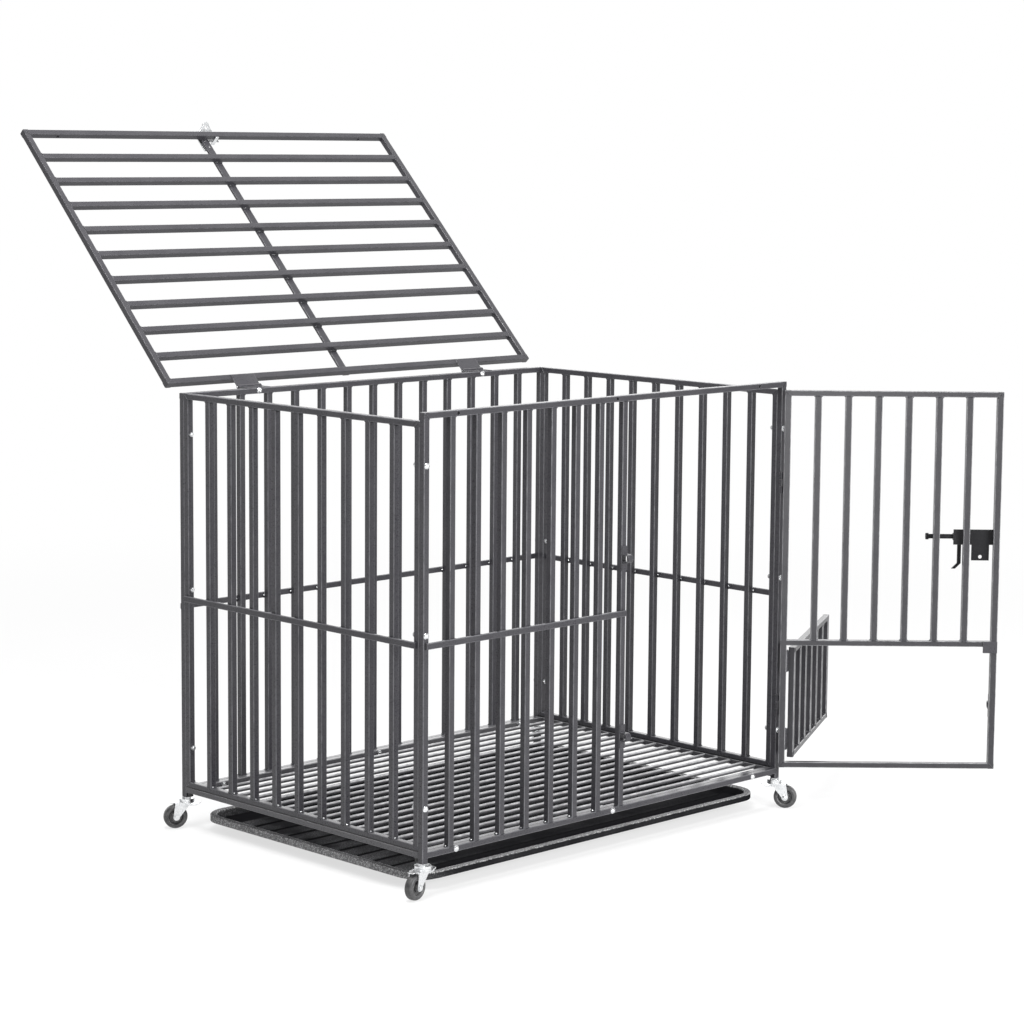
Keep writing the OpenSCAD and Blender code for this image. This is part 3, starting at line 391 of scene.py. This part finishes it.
# Painted glints along the rim's outer edge.
TRAY_GLINT = (0.90, 0.90, 0.91)
TRAY_SPECULAR = 0.0
TRAY_BEVEL = 0.0020
TRAY_EDGE_BAND = (0.999, 0.93)
PEBBLE_SCALE = 300.0
PEBBLE_BAND = (0.55, 0.10)
PEBBLE_ROUGHNESS = (0.60, 0.40)
PEBBLE_BUMP = (0.55, 0.0004)
RIB_LIGHT_NOISE = (9.0, 3.0)
RIB_LIGHT_BAND = (0.40, 0.60)
RIB_LIGHT_SHARES = (0.15, 1.0)
LIT_END = 0.16
LIT_END_SHARES = (1.0, 0.12)
GLINT_NOISE = (420.0, 1.0)
GLINT_BAND = (0.48, 0.66)
GRAIN_SHARES = (0.3, 1.0)
UP_BAND = (0.25, 0.75)
LEFT_BAND = (-0.3, -0.8)
RIB_BAND = (0.0020, 0.0005)
RIM_BAND = (0.0040, 0.0010)
WALL_BAND = (0.030, 0.012)
LEFT_RIM_SHARES = (1.0, 0.35)


def below(band, top):
    return [top - depth for depth in band]


def moulded_tray(name):
    """Black plastic with a pebbled grain; painted light on the rib crowns towards the left end, a painted
    highlight on the rim's top and the left wall, and painted glints along the rim's edge.
    """
    material, tree, shader = new_material(name)
    normal, mask = soft_edges(tree, TRAY_BEVEL, *TRAY_EDGE_BAND)
    pebble = spread(tree, cells(tree, PEBBLE_SCALE), *PEBBLE_BAND)
    patch = spread(tree, noise(tree, *RIB_LIGHT_NOISE), *RIB_LIGHT_BAND, *RIB_LIGHT_SHARES)
    glint = spread(tree, noise(tree, *GLINT_NOISE), *GLINT_BAND)
    grain = scaled(tree, glint, *GRAIN_SHARES)
    level = own_place(tree, "Z")
    run = own_place(tree, "X")
    rib = spread(tree, level, *below(RIB_BAND, RIB_TOP))
    rim = spread(tree, level, *below(RIM_BAND, tray_high.z))
    end = spread(tree, run, tray_low.x, tray_low.x + LIT_END, *LIT_END_SHARES)
    wall = spread(tree, run, *[tray_low.x + inward for inward in WALL_BAND])
    # Painted light on the rib crowns near the left end, in patches.
    lit_ribs = combined(tree, "MULTIPLY", rib, end, patch, grain)
    lit_rib_colour = between(tree, lit_ribs, TRAY_BLACK, TRAY_LIT_RIB)
    # Painted highlight on the left end's outer wall, on the faces turned to the left.
    lit_left_wall = combined(tree, "MULTIPLY", wall, facing(tree, "X", *LEFT_BAND), grain)
    left_lit = between(tree, lit_left_wall, lit_rib_colour, TRAY_HIGHLIGHT)
    held_back = scaled(tree, wall, *LEFT_RIM_SHARES)
    # Painted highlight on the rim's upward faces, held back at the left end.
    rim_top = combined(tree, "MULTIPLY", rim, facing(tree, "Z", *UP_BAND), grain, held_back)
    pale = between(tree, rim_top, left_lit, TRAY_HIGHLIGHT)
    # Painted glints along the rim's edges.
    final_colour = between(tree, combined(tree, "MULTIPLY", mask, rim, glint), pale, TRAY_GLINT)
    tree.links.new(final_colour, shader.inputs["Base Color"])
    shader.inputs["Specular IOR Level"].default_value = TRAY_SPECULAR
    tree.links.new(scaled(tree, pebble, *PEBBLE_ROUGHNESS), shader.inputs["Roughness"])
    tree.links.new(bumped(tree, pebble, *PEBBLE_BUMP, normal), shader.inputs["Normal"])
    return material


# Wheel rubber
RUBBER_DARK = (0.034, 0.034, 0.036)
RUBBER_BLOOM = (0.078, 0.077, 0.077)
RUBBER_EDGE_HIGHLIGHT = (0.30, 0.30, 0.30)
RUBBER_BEVEL = 0.0010
RUBBER_EDGE_BAND = (0.99, 0.80)
BLOOM_NOISE = (140.0, 4.0)
BLOOM_BAND = (0.4, 0.75)
RUBBER_HIGHLIGHT_SHARE = 0.7
RUBBER_ROUGHNESS = (0.42, 0.62)
RUBBER_NOISE = (700.0, 2.0)
RUBBER_BUMP = (0.15, 0.0002)


def tread_rubber(name):
    """Dark grey rubber with a powdery bloom, and a painted highlight along its edges."""
    material, tree, shader = new_material(name)
    normal, mask = soft_edges(tree, RUBBER_BEVEL, *RUBBER_EDGE_BAND)
    bloom = spread(tree, noise(tree, *BLOOM_NOISE), *BLOOM_BAND)
    body = between(tree, bloom, RUBBER_DARK, RUBBER_BLOOM)
    # Painted highlight along the edges.
    final_colour = between(tree, scaled(tree, mask, 0.0, RUBBER_HIGHLIGHT_SHARE), body, RUBBER_EDGE_HIGHLIGHT)
    tree.links.new(final_colour, shader.inputs["Base Color"])
    tree.links.new(scaled(tree, bloom, *RUBBER_ROUGHNESS), shader.inputs["Roughness"])
    tree.links.new(bumped(tree, noise(tree, *RUBBER_NOISE), *RUBBER_BUMP, normal), shader.inputs["Normal"])
    return material


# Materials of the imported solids, by slot, and by node where a tube frame has its own
MATERIALS = {
    "powder_coat": powder_coat("coat_grey", *CRATE_COAT),
    "latch": powder_coat("coat_black", *LATCH_COAT, specular=LATCH_SPECULAR),
    "zinc": zinc_plate("zinc_plate"),
    "tray": moulded_tray("tray_plastic"),
    "wheel": tread_rubber("wheel_rubber"),
    "plug": powder_coat("plug_black", *PLUG_COAT),
}
BEAD_COAT = powder_coat("bead_coat", *WELD_COAT)
crate_coat = powder_coat("coat_crate", *CRATE_COAT, turn=UPRIGHT)
end_coat = powder_coat("coat_ends", *CRATE_COAT, turn=UPRIGHT, joint_level=floor_top)
TUBE_COATS = {
    "front_panel": crate_coat,
    "back_panel": crate_coat,
    "left_panel": end_coat,
    "right_panel": end_coat,
    "floor_grid": powder_coat("coat_floor_lit", *LIT_FLOOR_COAT, top_highlight=TOP_HIGHLIGHT),
    "lid_frame": powder_coat("coat_lid", *LID_COAT, turn=lid_open.to_3x3()),
    "door_frame": powder_coat("coat_door_shaded", *SHADED_DOOR_COAT, turn=door_open.to_3x3()),
    "hatch_frame": powder_coat("coat_hatch_shaded", *SHADED_DOOR_COAT, turn=hatch_open.to_3x3()),
}

for part in frame["record"]["subparts"]:
    mesh = frame["nodes"][part["node"]].data
    mesh.materials.clear()
    mesh.materials.append(TUBE_COATS.get(part["node"], MATERIALS[part["material_slot"]]))


# Welds. Profile shares go around a section, in legs of the bead or in half widths and heights of the seam.
BEAD_LEG = 0.0028
BRACE_BEAD = 0.0042
BEAD_ROOT = 0.0006
BEAD_STEPS = 7
BEAD_END_SHARE = 0.55
BEAD_TAPER_SHARE = 0.06
BEAD_REACH_SHARE = 0.92
BEAD_PROFILE_SHARES = ((1.0, 0.0), (0.80, 0.46), (0.46, 0.80), (0.0, 1.0))
SEAM_WIDTH = 0.0026
SEAM_HEIGHT = 0.0005
SEAM_STEPS = 9
SEAM_RUN_SHARE = 0.82
SEAM_PROFILE_SHARES = ((-1.0, -0.4), (-0.75, 0.6), (0.0, 1.0), (0.75, 0.6), (1.0, -0.4))
MITRE_SHARES = (0.12, 0.96)
LUMP_SHARE = 0.22
LUMP_SEED_TURNS = (12.9898, 4.1414)
LUMP_STEP_TURNS = (2.3, 1.7)
# Spots of bright zinc that stand for the weld beads' glints: painted highlights.
SPOT_RADIUS = 0.0018
SPOT_SHARE = 0.62
SPOT_ROUNDS = 2


def lump(seed, step):
    """Steady unevenness of a hand-laid bead, from -1 to 1. The seed keeps beads from looking alike."""
    first = math.sin(seed * LUMP_SEED_TURNS[0] + step * LUMP_STEP_TURNS[0])
    second = math.cos(seed * LUMP_SEED_TURNS[1] + step * LUMP_STEP_TURNS[1])
    return first * second


def skin(bm, rings):
    """Faces over a row of closed rings, with both ends capped."""
    made = [[bm.verts.new(p) for p in ring] for ring in rings]
    count = len(made[0])
    for a, b in zip(made, made[1:]):
        for i in range(count):
            j = (i + 1) % count
            bm.faces.new((a[i], a[j], b[j], b[i]))
    bm.faces.new(list(reversed(made[0])))
    bm.faces.new(made[-1])


def fillet_bead(bm, start, end, along_rail, along_bar, seed, size=BEAD_LEG):
    """Lumpy bead in the inner corner between a rail and a bar, from start to end."""
    root = -BEAD_ROOT * (along_rail + along_bar)
    rings = []
    for step in range(BEAD_STEPS):
        t = step / (BEAD_STEPS - 1)
        held = min(max(t, BEAD_TAPER_SHARE), 1 - BEAD_TAPER_SHARE)
        fade = BEAD_END_SHARE + (1 - BEAD_END_SHARE) * math.sin(math.pi * held)
        leg = size * fade * (1 + LUMP_SHARE * lump(seed, step))
        middle = start.lerp(end, t)
        ring = [middle + root]
        ring += [middle + leg * (a * along_rail + b * along_bar) for a, b in BEAD_PROFILE_SHARES]
        rings.append(ring)
    skin(bm, rings)


def seam_ridge(bm, start, end, up, seed):
    """Low lumpy ridge of a ground seam, lying on a flat face whose normal is up."""
    side = (end - start).normalized().cross(up)
    rings = []
    for step in range(SEAM_STEPS):
        t = step / (SEAM_STEPS - 1)
        swell = 1 + LUMP_SHARE * lump(seed, step)
        half = SEAM_WIDTH / 2 * swell
        rise = SEAM_HEIGHT * swell
        middle = start.lerp(end, t)
        rings.append([middle + a * half * side + b * rise * up for a, b in SEAM_PROFILE_SHARES])
    skin(bm, rings)


def bar_foot(bm, foot, along, across, depth, seed):
    """Welds where a bar stands on a rail: a bead in each inner corner, a ground seam on each flush face."""
    reach = HALF_TUBE * BEAD_REACH_SHARE * depth
    run = HALF_TUBE * SEAM_RUN_SHARE * across
    for side in (-1, 1):
        corner = foot + side * HALF_TUBE * across
        fillet_bead(bm, corner - reach, corner + reach, side * across, along, seed + side)
        face = foot + side * HALF_TUBE * depth
        seam_ridge(bm, face - run, face + run, side * depth, seed + 3 * side)


def mitre(bm, corner, inward, depth, seed, sides=(-1, 1)):
    """Ground seams across a frame's corner, on its faces. corner is the outer corner at half depth."""
    for side in sides:
        face = corner + side * HALF_TUBE * depth
        start, end = [face + share * TUBE * inward for share in MITRE_SHARES]
        seam_ridge(bm, start, end, side * depth, seed + side)


def frame_mitres(bm, low, high, across, up, depth, seed, covered=None):
    """Mitred corners of a frame whose outer corners lie at low and high.

    covered is the number of a corner that closes against another piece on its far face.
    """
    size = high - low
    for i, (a, b) in enumerate(((0, 0), (1, 0), (0, 1), (1, 1))):
        corner = low + a * size.dot(across) * across + b * size.dot(up) * up
        inward = (1 - 2 * a) * across + (1 - 2 * b) * up
        sides = (-1,) if i == covered else (-1, 1)
        mitre(bm, corner, inward, depth, seed + 5 * i, sides)


def bar_row(bm, first, last, bars, along, low, high, depth, seed):
    """Feet of a row of bars whose outer neighbours' middles are first and last."""
    across = (last - first).normalized()
    for i in range(1, bars + 1):
        middle = first.lerp(last, i / (bars + 1))
        for end, way in ((low, along), (high, -along)):
            bar_foot(bm, middle + end * along, way, across, depth, seed + 7 * i + end)


def brace_beads(bm, first, last, bars, half, outward, seed):
    """Beads between a row of bars and the brace outside it, in the corners at both sides of each bar."""
    across = (last - first).normalized()
    for i in range(1, bars + 1):
        middle = first.lerp(last, i / (bars + 1)) + HALF_TUBE * outward
        for side in (-1, 1):
            corner = middle + side * HALF_TUBE * across
            number = seed + 7 * i + side
            fillet_bead(bm, corner - half, corner + half, side * across, -outward, number, BRACE_BEAD)


def glint_spot_row(bm, first, last, bars, offset, seed):
    """Bright zinc spots that stand for the glints on the weld beads, which is painted highlight, one by each bar
    of a row.
    """
    for i in range(1, bars + 1):
        place = Matrix.Translation(first.lerp(last, i / (bars + 1)) + offset)
        radius = SPOT_RADIUS * (1 + LUMP_SHARE * lump(seed, i))
        bmesh.ops.create_icosphere(bm, subdivisions=SPOT_ROUNDS, radius=radius, matrix=place)


def weld_piece(name, body, build, place=None, material=BEAD_COAT):
    bm = bmesh.new()
    build(bm)
    bmesh.ops.recalc_face_normals(bm, faces=bm.faces)
    mesh = bpy.data.meshes.new(name)
    bm.to_mesh(mesh)
    bm.free()
    for face in mesh.polygons:
        face.use_smooth = True
    mesh.materials.append(material)
    piece = bpy.data.objects.new(name, mesh)
    bpy.context.scene.collection.objects.link(piece)
    if place is not None:
        piece.matrix_world = place
    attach(piece, body)


def front_welds(bm):
    first = Vector((-end_x, front_y, 0))
    post = Vector((POST_MIDDLE, front_y, 0))
    rail_bottom = front_top - RAIL
    bar_row(bm, first, post, FRONT_BARS, Z, floor_top, rail_bottom, Y, seed=1)
    rise = NEAR_BRACE_LEVEL * Z
    brace_beads(bm, first + rise, post + rise, FRONT_BARS, BRACE_HEIGHT / 2 * Z, -Y, seed=11)
    for end, way in ((floor_top, Z), (rail_bottom, -Z)):
        bar_foot(bm, post + end * Z, way, X, Y, seed=80 + end)
    for side in (-1, 1):
        corner = Vector((side * half_length, front_y, front_top))
        mitre(bm, corner, -side * X - Z, Y, seed=90 + side)


def back_welds(bm):
    y = half_depth - HALF_TUBE
    first = Vector((-end_x, y, 0))
    last = Vector((end_x, y, 0))
    bar_row(bm, first, last, BACK_BARS, Z, floor_top, frame_top - RAIL, Y, seed=2)
    rise = FAR_BRACE_LEVEL * Z
    brace_beads(bm, first + rise, last + rise, BACK_BARS, BRACE_HEIGHT / 2 * Z, Y, seed=12)
    for side in (-1, 1):
        corner = Vector((side * half_length, y, frame_top))
        mitre(bm, corner, -side * X - Z, Y, seed=95 + side)


def end_welds(side, level):
    """Welds of the left panel, side -1, or the right panel, side 1."""
    def build(bm):
        y = inner_depth - HALF_TUBE
        x = side * end_x
        first = Vector((x, -y, 0))
        last = Vector((x, y, 0))
        bar_row(bm, first, last, END_BARS, Z, floor_top + RAIL, frame_top - RAIL, X, seed=3 + side)
        rise = level * Z
        brace_beads(bm, first + rise, last + rise, END_BARS, BRACE_HEIGHT / 2 * Z, side * X, seed=13 + side)
        low = Vector((x, -inner_depth, floor_top))
        high = Vector((x, inner_depth, frame_top))
        frame_mitres(bm, low, high, Y, Z, X, seed=40 + side)
    return build


def lid_welds(bm):
    z = front_top - HALF_TUBE
    front = -inner_depth + LID_GAP
    back = half_depth - LID_GAP
    first = Vector((0, front + HALF_TUBE, z))
    last = Vector((0, back - HALF_TUBE, z))
    reach = half_length - TUBE
    bar_row(bm, first, last, LID_BARS, X, -reach, reach, Z, seed=5)
    beside = LID_BRACE_MIDDLE * X
    brace_beads(bm, first + beside, last + beside, LID_BARS, LID_BRACE_WIDTH / 2 * X, Z, seed=15)
    low = Vector((-half_length, front, z))
    high = Vector((half_length, back, z))
    frame_mitres(bm, low, high, X, Y, Z, seed=50)


def door_welds(bm):
    first = Vector((door_x[0] + HALF_TUBE, front_y, 0))
    last = Vector((door_x[1] - HALF_TUBE, front_y, 0))
    bar_row(bm, first, last, DOOR_BARS, Z, CROSS_RAIL + RAIL, door_z[1] - RAIL, Y, seed=6)
    low = Vector((door_x[0], front_y, door_z[0]))
    high = Vector((door_x[1], front_y, door_z[1]))
    frame_mitres(bm, low, high, X, Z, Y, seed=60)


def hatch_welds(bm):
    first = Vector((hatch_x[0] + HALF_TUBE, front_y, 0))
    last = Vector((hatch_x[1] - HALF_TUBE, front_y, 0))
    bar_row(bm, first, last, HATCH_BARS, Z, hatch_z[0] + RAIL, hatch_z[1] - RAIL, Y, seed=7)
    low = Vector((hatch_x[0], front_y, hatch_z[0]))
    high = Vector((hatch_x[1], front_y, hatch_z[1]))
    frame_mitres(bm, low, high, X, Z, Y, seed=70, covered=2)


def weld_glint_spots(bm):
    """Painted highlights of bright zinc for the beads' glints: at the feet of the front and left bars, and beside
    the bars on the back and right braces.
    """
    lift = SPOT_SHARE * BEAD_LEG
    foot = HALF_TUBE + lift
    first = Vector((-end_x, front_y, floor_top + lift))
    last = Vector((POST_MIDDLE, front_y, floor_top + lift))
    glint_spot_row(bm, first, last, FRONT_BARS, -foot * X, seed=21)
    sunk = SPOT_SHARE * BRACE_BEAD
    beside = HALF_TUBE + sunk
    first = Vector((-end_x, half_depth - sunk, FAR_BRACE_LEVEL))
    last = Vector((end_x, half_depth - sunk, FAR_BRACE_LEVEL))
    glint_spot_row(bm, first, last, BACK_BARS, -beside * X, seed=22)
    reach = inner_depth - HALF_TUBE
    first = Vector((half_length - sunk, -reach, FAR_BRACE_LEVEL))
    last = Vector((half_length - sunk, reach, FAR_BRACE_LEVEL))
    glint_spot_row(bm, first, last, END_BARS, -beside * Y, seed=23)
    left = -half_length + HALF_TUBE / 2
    first = Vector((left, -reach, floor_top + RAIL + lift))
    last = Vector((left, reach, floor_top + RAIL + lift))
    glint_spot_row(bm, first, last, END_BARS, -foot * Y, seed=24)


weld_piece("front_welds", "crate", front_welds)
weld_piece("back_welds", "crate", back_welds)
weld_piece("left_welds", "crate", end_welds(-1, NEAR_BRACE_LEVEL))
weld_piece("right_welds", "crate", end_welds(1, FAR_BRACE_LEVEL))
weld_piece("weld_glint_spots", "crate", weld_glint_spots, material=MATERIALS["zinc"])
weld_piece("lid_welds", "lid", lid_welds, lid_open)
weld_piece("door_welds", "door", door_welds, door_open)
weld_piece("hatch_welds", "hatch", hatch_welds, hatch_open)


# Floor, light and camera
FLOOR_RADIUS = 40.0
FLOOR_SEGMENTS = 96
CAMERA_REACH = 4 * FLOOR_RADIUS
FLOOR_DROP = 0.0003
FLOOR_MATT = 0.25
FLOOR_GLOW = 0.68
FADE_NEAR = 1.4
FADE_FAR = 4.5
ROOM_LIGHT = 0.38
SWEEP_LIGHT = 2.6
SWEEP_WAY = (0.70, 0.69, 0.17)
SWEEP_BAND = (0.35, 0.92)
WHITE = (1.0, 1.0, 1.0, 1.0)

# Lamps, each a name, a place, a width and a power in watts, all turned to one point
LAMP_AIM = Vector((0.1, 0, 0.5))
LAMPS = (
    ("key", (0.7, -4.9, 1.9), 2.0, 270),
    ("top", (-0.9, -0.3, 3.2), 1.6, 110),
    ("low", (-3.3, -4.4, 0.7), 1.0, 60),
)


def floor_material():
    """Matt and softly glowing near the crate, and as white as the surround far from it."""
    material = bpy.data.materials.new("pale_floor")
    material.use_nodes = True
    tree = material.node_tree
    tree.nodes.clear()
    output = tree.nodes.new("ShaderNodeOutputMaterial")
    matt = tree.nodes.new("ShaderNodeBsdfDiffuse")
    matt.inputs["Color"].default_value = (FLOOR_MATT, FLOOR_MATT, FLOOR_MATT, 1.0)
    near_glow = tree.nodes.new("ShaderNodeEmission")
    near_glow.inputs["Strength"].default_value = FLOOR_GLOW
    near = tree.nodes.new("ShaderNodeAddShader")
    tree.links.new(matt.outputs["BSDF"], near.inputs[0])
    tree.links.new(near_glow.outputs["Emission"], near.inputs[1])
    far_glow = tree.nodes.new("ShaderNodeEmission")
    place = tree.nodes.new("ShaderNodeTexCoord")
    length = tree.nodes.new("ShaderNodeVectorMath")
    length.operation = "LENGTH"
    tree.links.new(place.outputs["Object"], length.inputs[0])
    fade = tree.nodes.new("ShaderNodeMapRange")
    fade.interpolation_type = "SMOOTHSTEP"
    fade.inputs["From Min"].default_value = FADE_NEAR
    fade.inputs["From Max"].default_value = FADE_FAR
    tree.links.new(length.outputs["Value"], fade.inputs["Value"])
    mix = tree.nodes.new("ShaderNodeMixShader")
    tree.links.new(fade.outputs["Result"], mix.inputs["Fac"])
    tree.links.new(near.outputs["Shader"], mix.inputs[1])
    tree.links.new(far_glow.outputs["Emission"], mix.inputs[2])
    tree.links.new(mix.outputs["Shader"], output.inputs["Surface"])
    return material


def pale_floor():
    """Plain pale floor that fades into the pale surround, so that no horizon shows."""
    bm = bmesh.new()
    bmesh.ops.create_circle(bm, cap_ends=True, radius=FLOOR_RADIUS, segments=FLOOR_SEGMENTS)
    mesh = bpy.data.meshes.new("floor")
    bm.to_mesh(mesh)
    bm.free()
    mesh.materials.append(floor_material())
    floor = bpy.data.objects.new("floor", mesh)
    floor.location.z = -FLOOR_DROP
    bpy.context.scene.collection.objects.link(floor)


def pale_surround():
    """White to the eye; as light it is a dim room with a bright sweep behind the crate."""
    world = bpy.data.worlds.new("surround")
    world.use_nodes = True
    tree = world.node_tree
    tree.nodes.clear()
    output = tree.nodes.new("ShaderNodeOutputWorld")
    room = tree.nodes.new("ShaderNodeBackground")
    white = tree.nodes.new("ShaderNodeBackground")
    for background in (room, white):
        background.inputs["Color"].default_value = WHITE
    way = tree.nodes.new("ShaderNodeTexCoord")
    dot = tree.nodes.new("ShaderNodeVectorMath")
    dot.operation = "DOT_PRODUCT"
    dot.inputs[1].default_value = SWEEP_WAY
    tree.links.new(way.outputs["Generated"], dot.inputs[0])
    strength = spread(tree, dot.outputs["Value"], *SWEEP_BAND, ROOM_LIGHT, SWEEP_LIGHT)
    tree.links.new(strength, room.inputs["Strength"])
    rays = tree.nodes.new("ShaderNodeLightPath")
    mix = tree.nodes.new("ShaderNodeMixShader")
    tree.links.new(rays.outputs["Is Camera Ray"], mix.inputs["Fac"])
    tree.links.new(room.outputs["Background"], mix.inputs[1])
    tree.links.new(white.outputs["Background"], mix.inputs[2])
    tree.links.new(mix.outputs["Shader"], output.inputs["Surface"])
    bpy.context.scene.world = world


def area_light(name, place, size, power):
    data = bpy.data.lights.new(name, "AREA")
    data.shape = "DISK"
    data.size = size
    data.energy = power
    light = bpy.data.objects.new(name, data)
    light.location = place
    light.visible_camera = False
    light.rotation_euler = (LAMP_AIM - Vector(place)).to_track_quat("-Z", "Y").to_euler()
    bpy.context.scene.collection.objects.link(light)


def photo_camera():
    data = bpy.data.cameras.new("camera")
    data.sensor_width = CAMERA_SENSOR
    data.lens = CAMERA_LENS
    data.shift_x, data.shift_y = CAMERA_SHIFT
    data.clip_end = CAMERA_REACH
    camera = bpy.data.objects.new("camera", data)
    turn = Matrix.Rotation(math.radians(CAMERA_AZIMUTH), 4, "Z")
    tilt = Matrix.Rotation(math.radians(90 - CAMERA_FALL), 4, "X")
    roll = Matrix.Rotation(math.radians(CAMERA_ROLL), 4, "Z")
    camera.matrix_world = Matrix.Translation(CAMERA_PLACE) @ turn @ tilt @ roll
    bpy.context.scene.collection.objects.link(camera)
    bpy.context.scene.camera = camera


pale_floor()
pale_surround()
for lamp in LAMPS:
    area_light(*lamp)
photo_camera()
bpy.context.scene.view_settings.view_transform = "Standard"
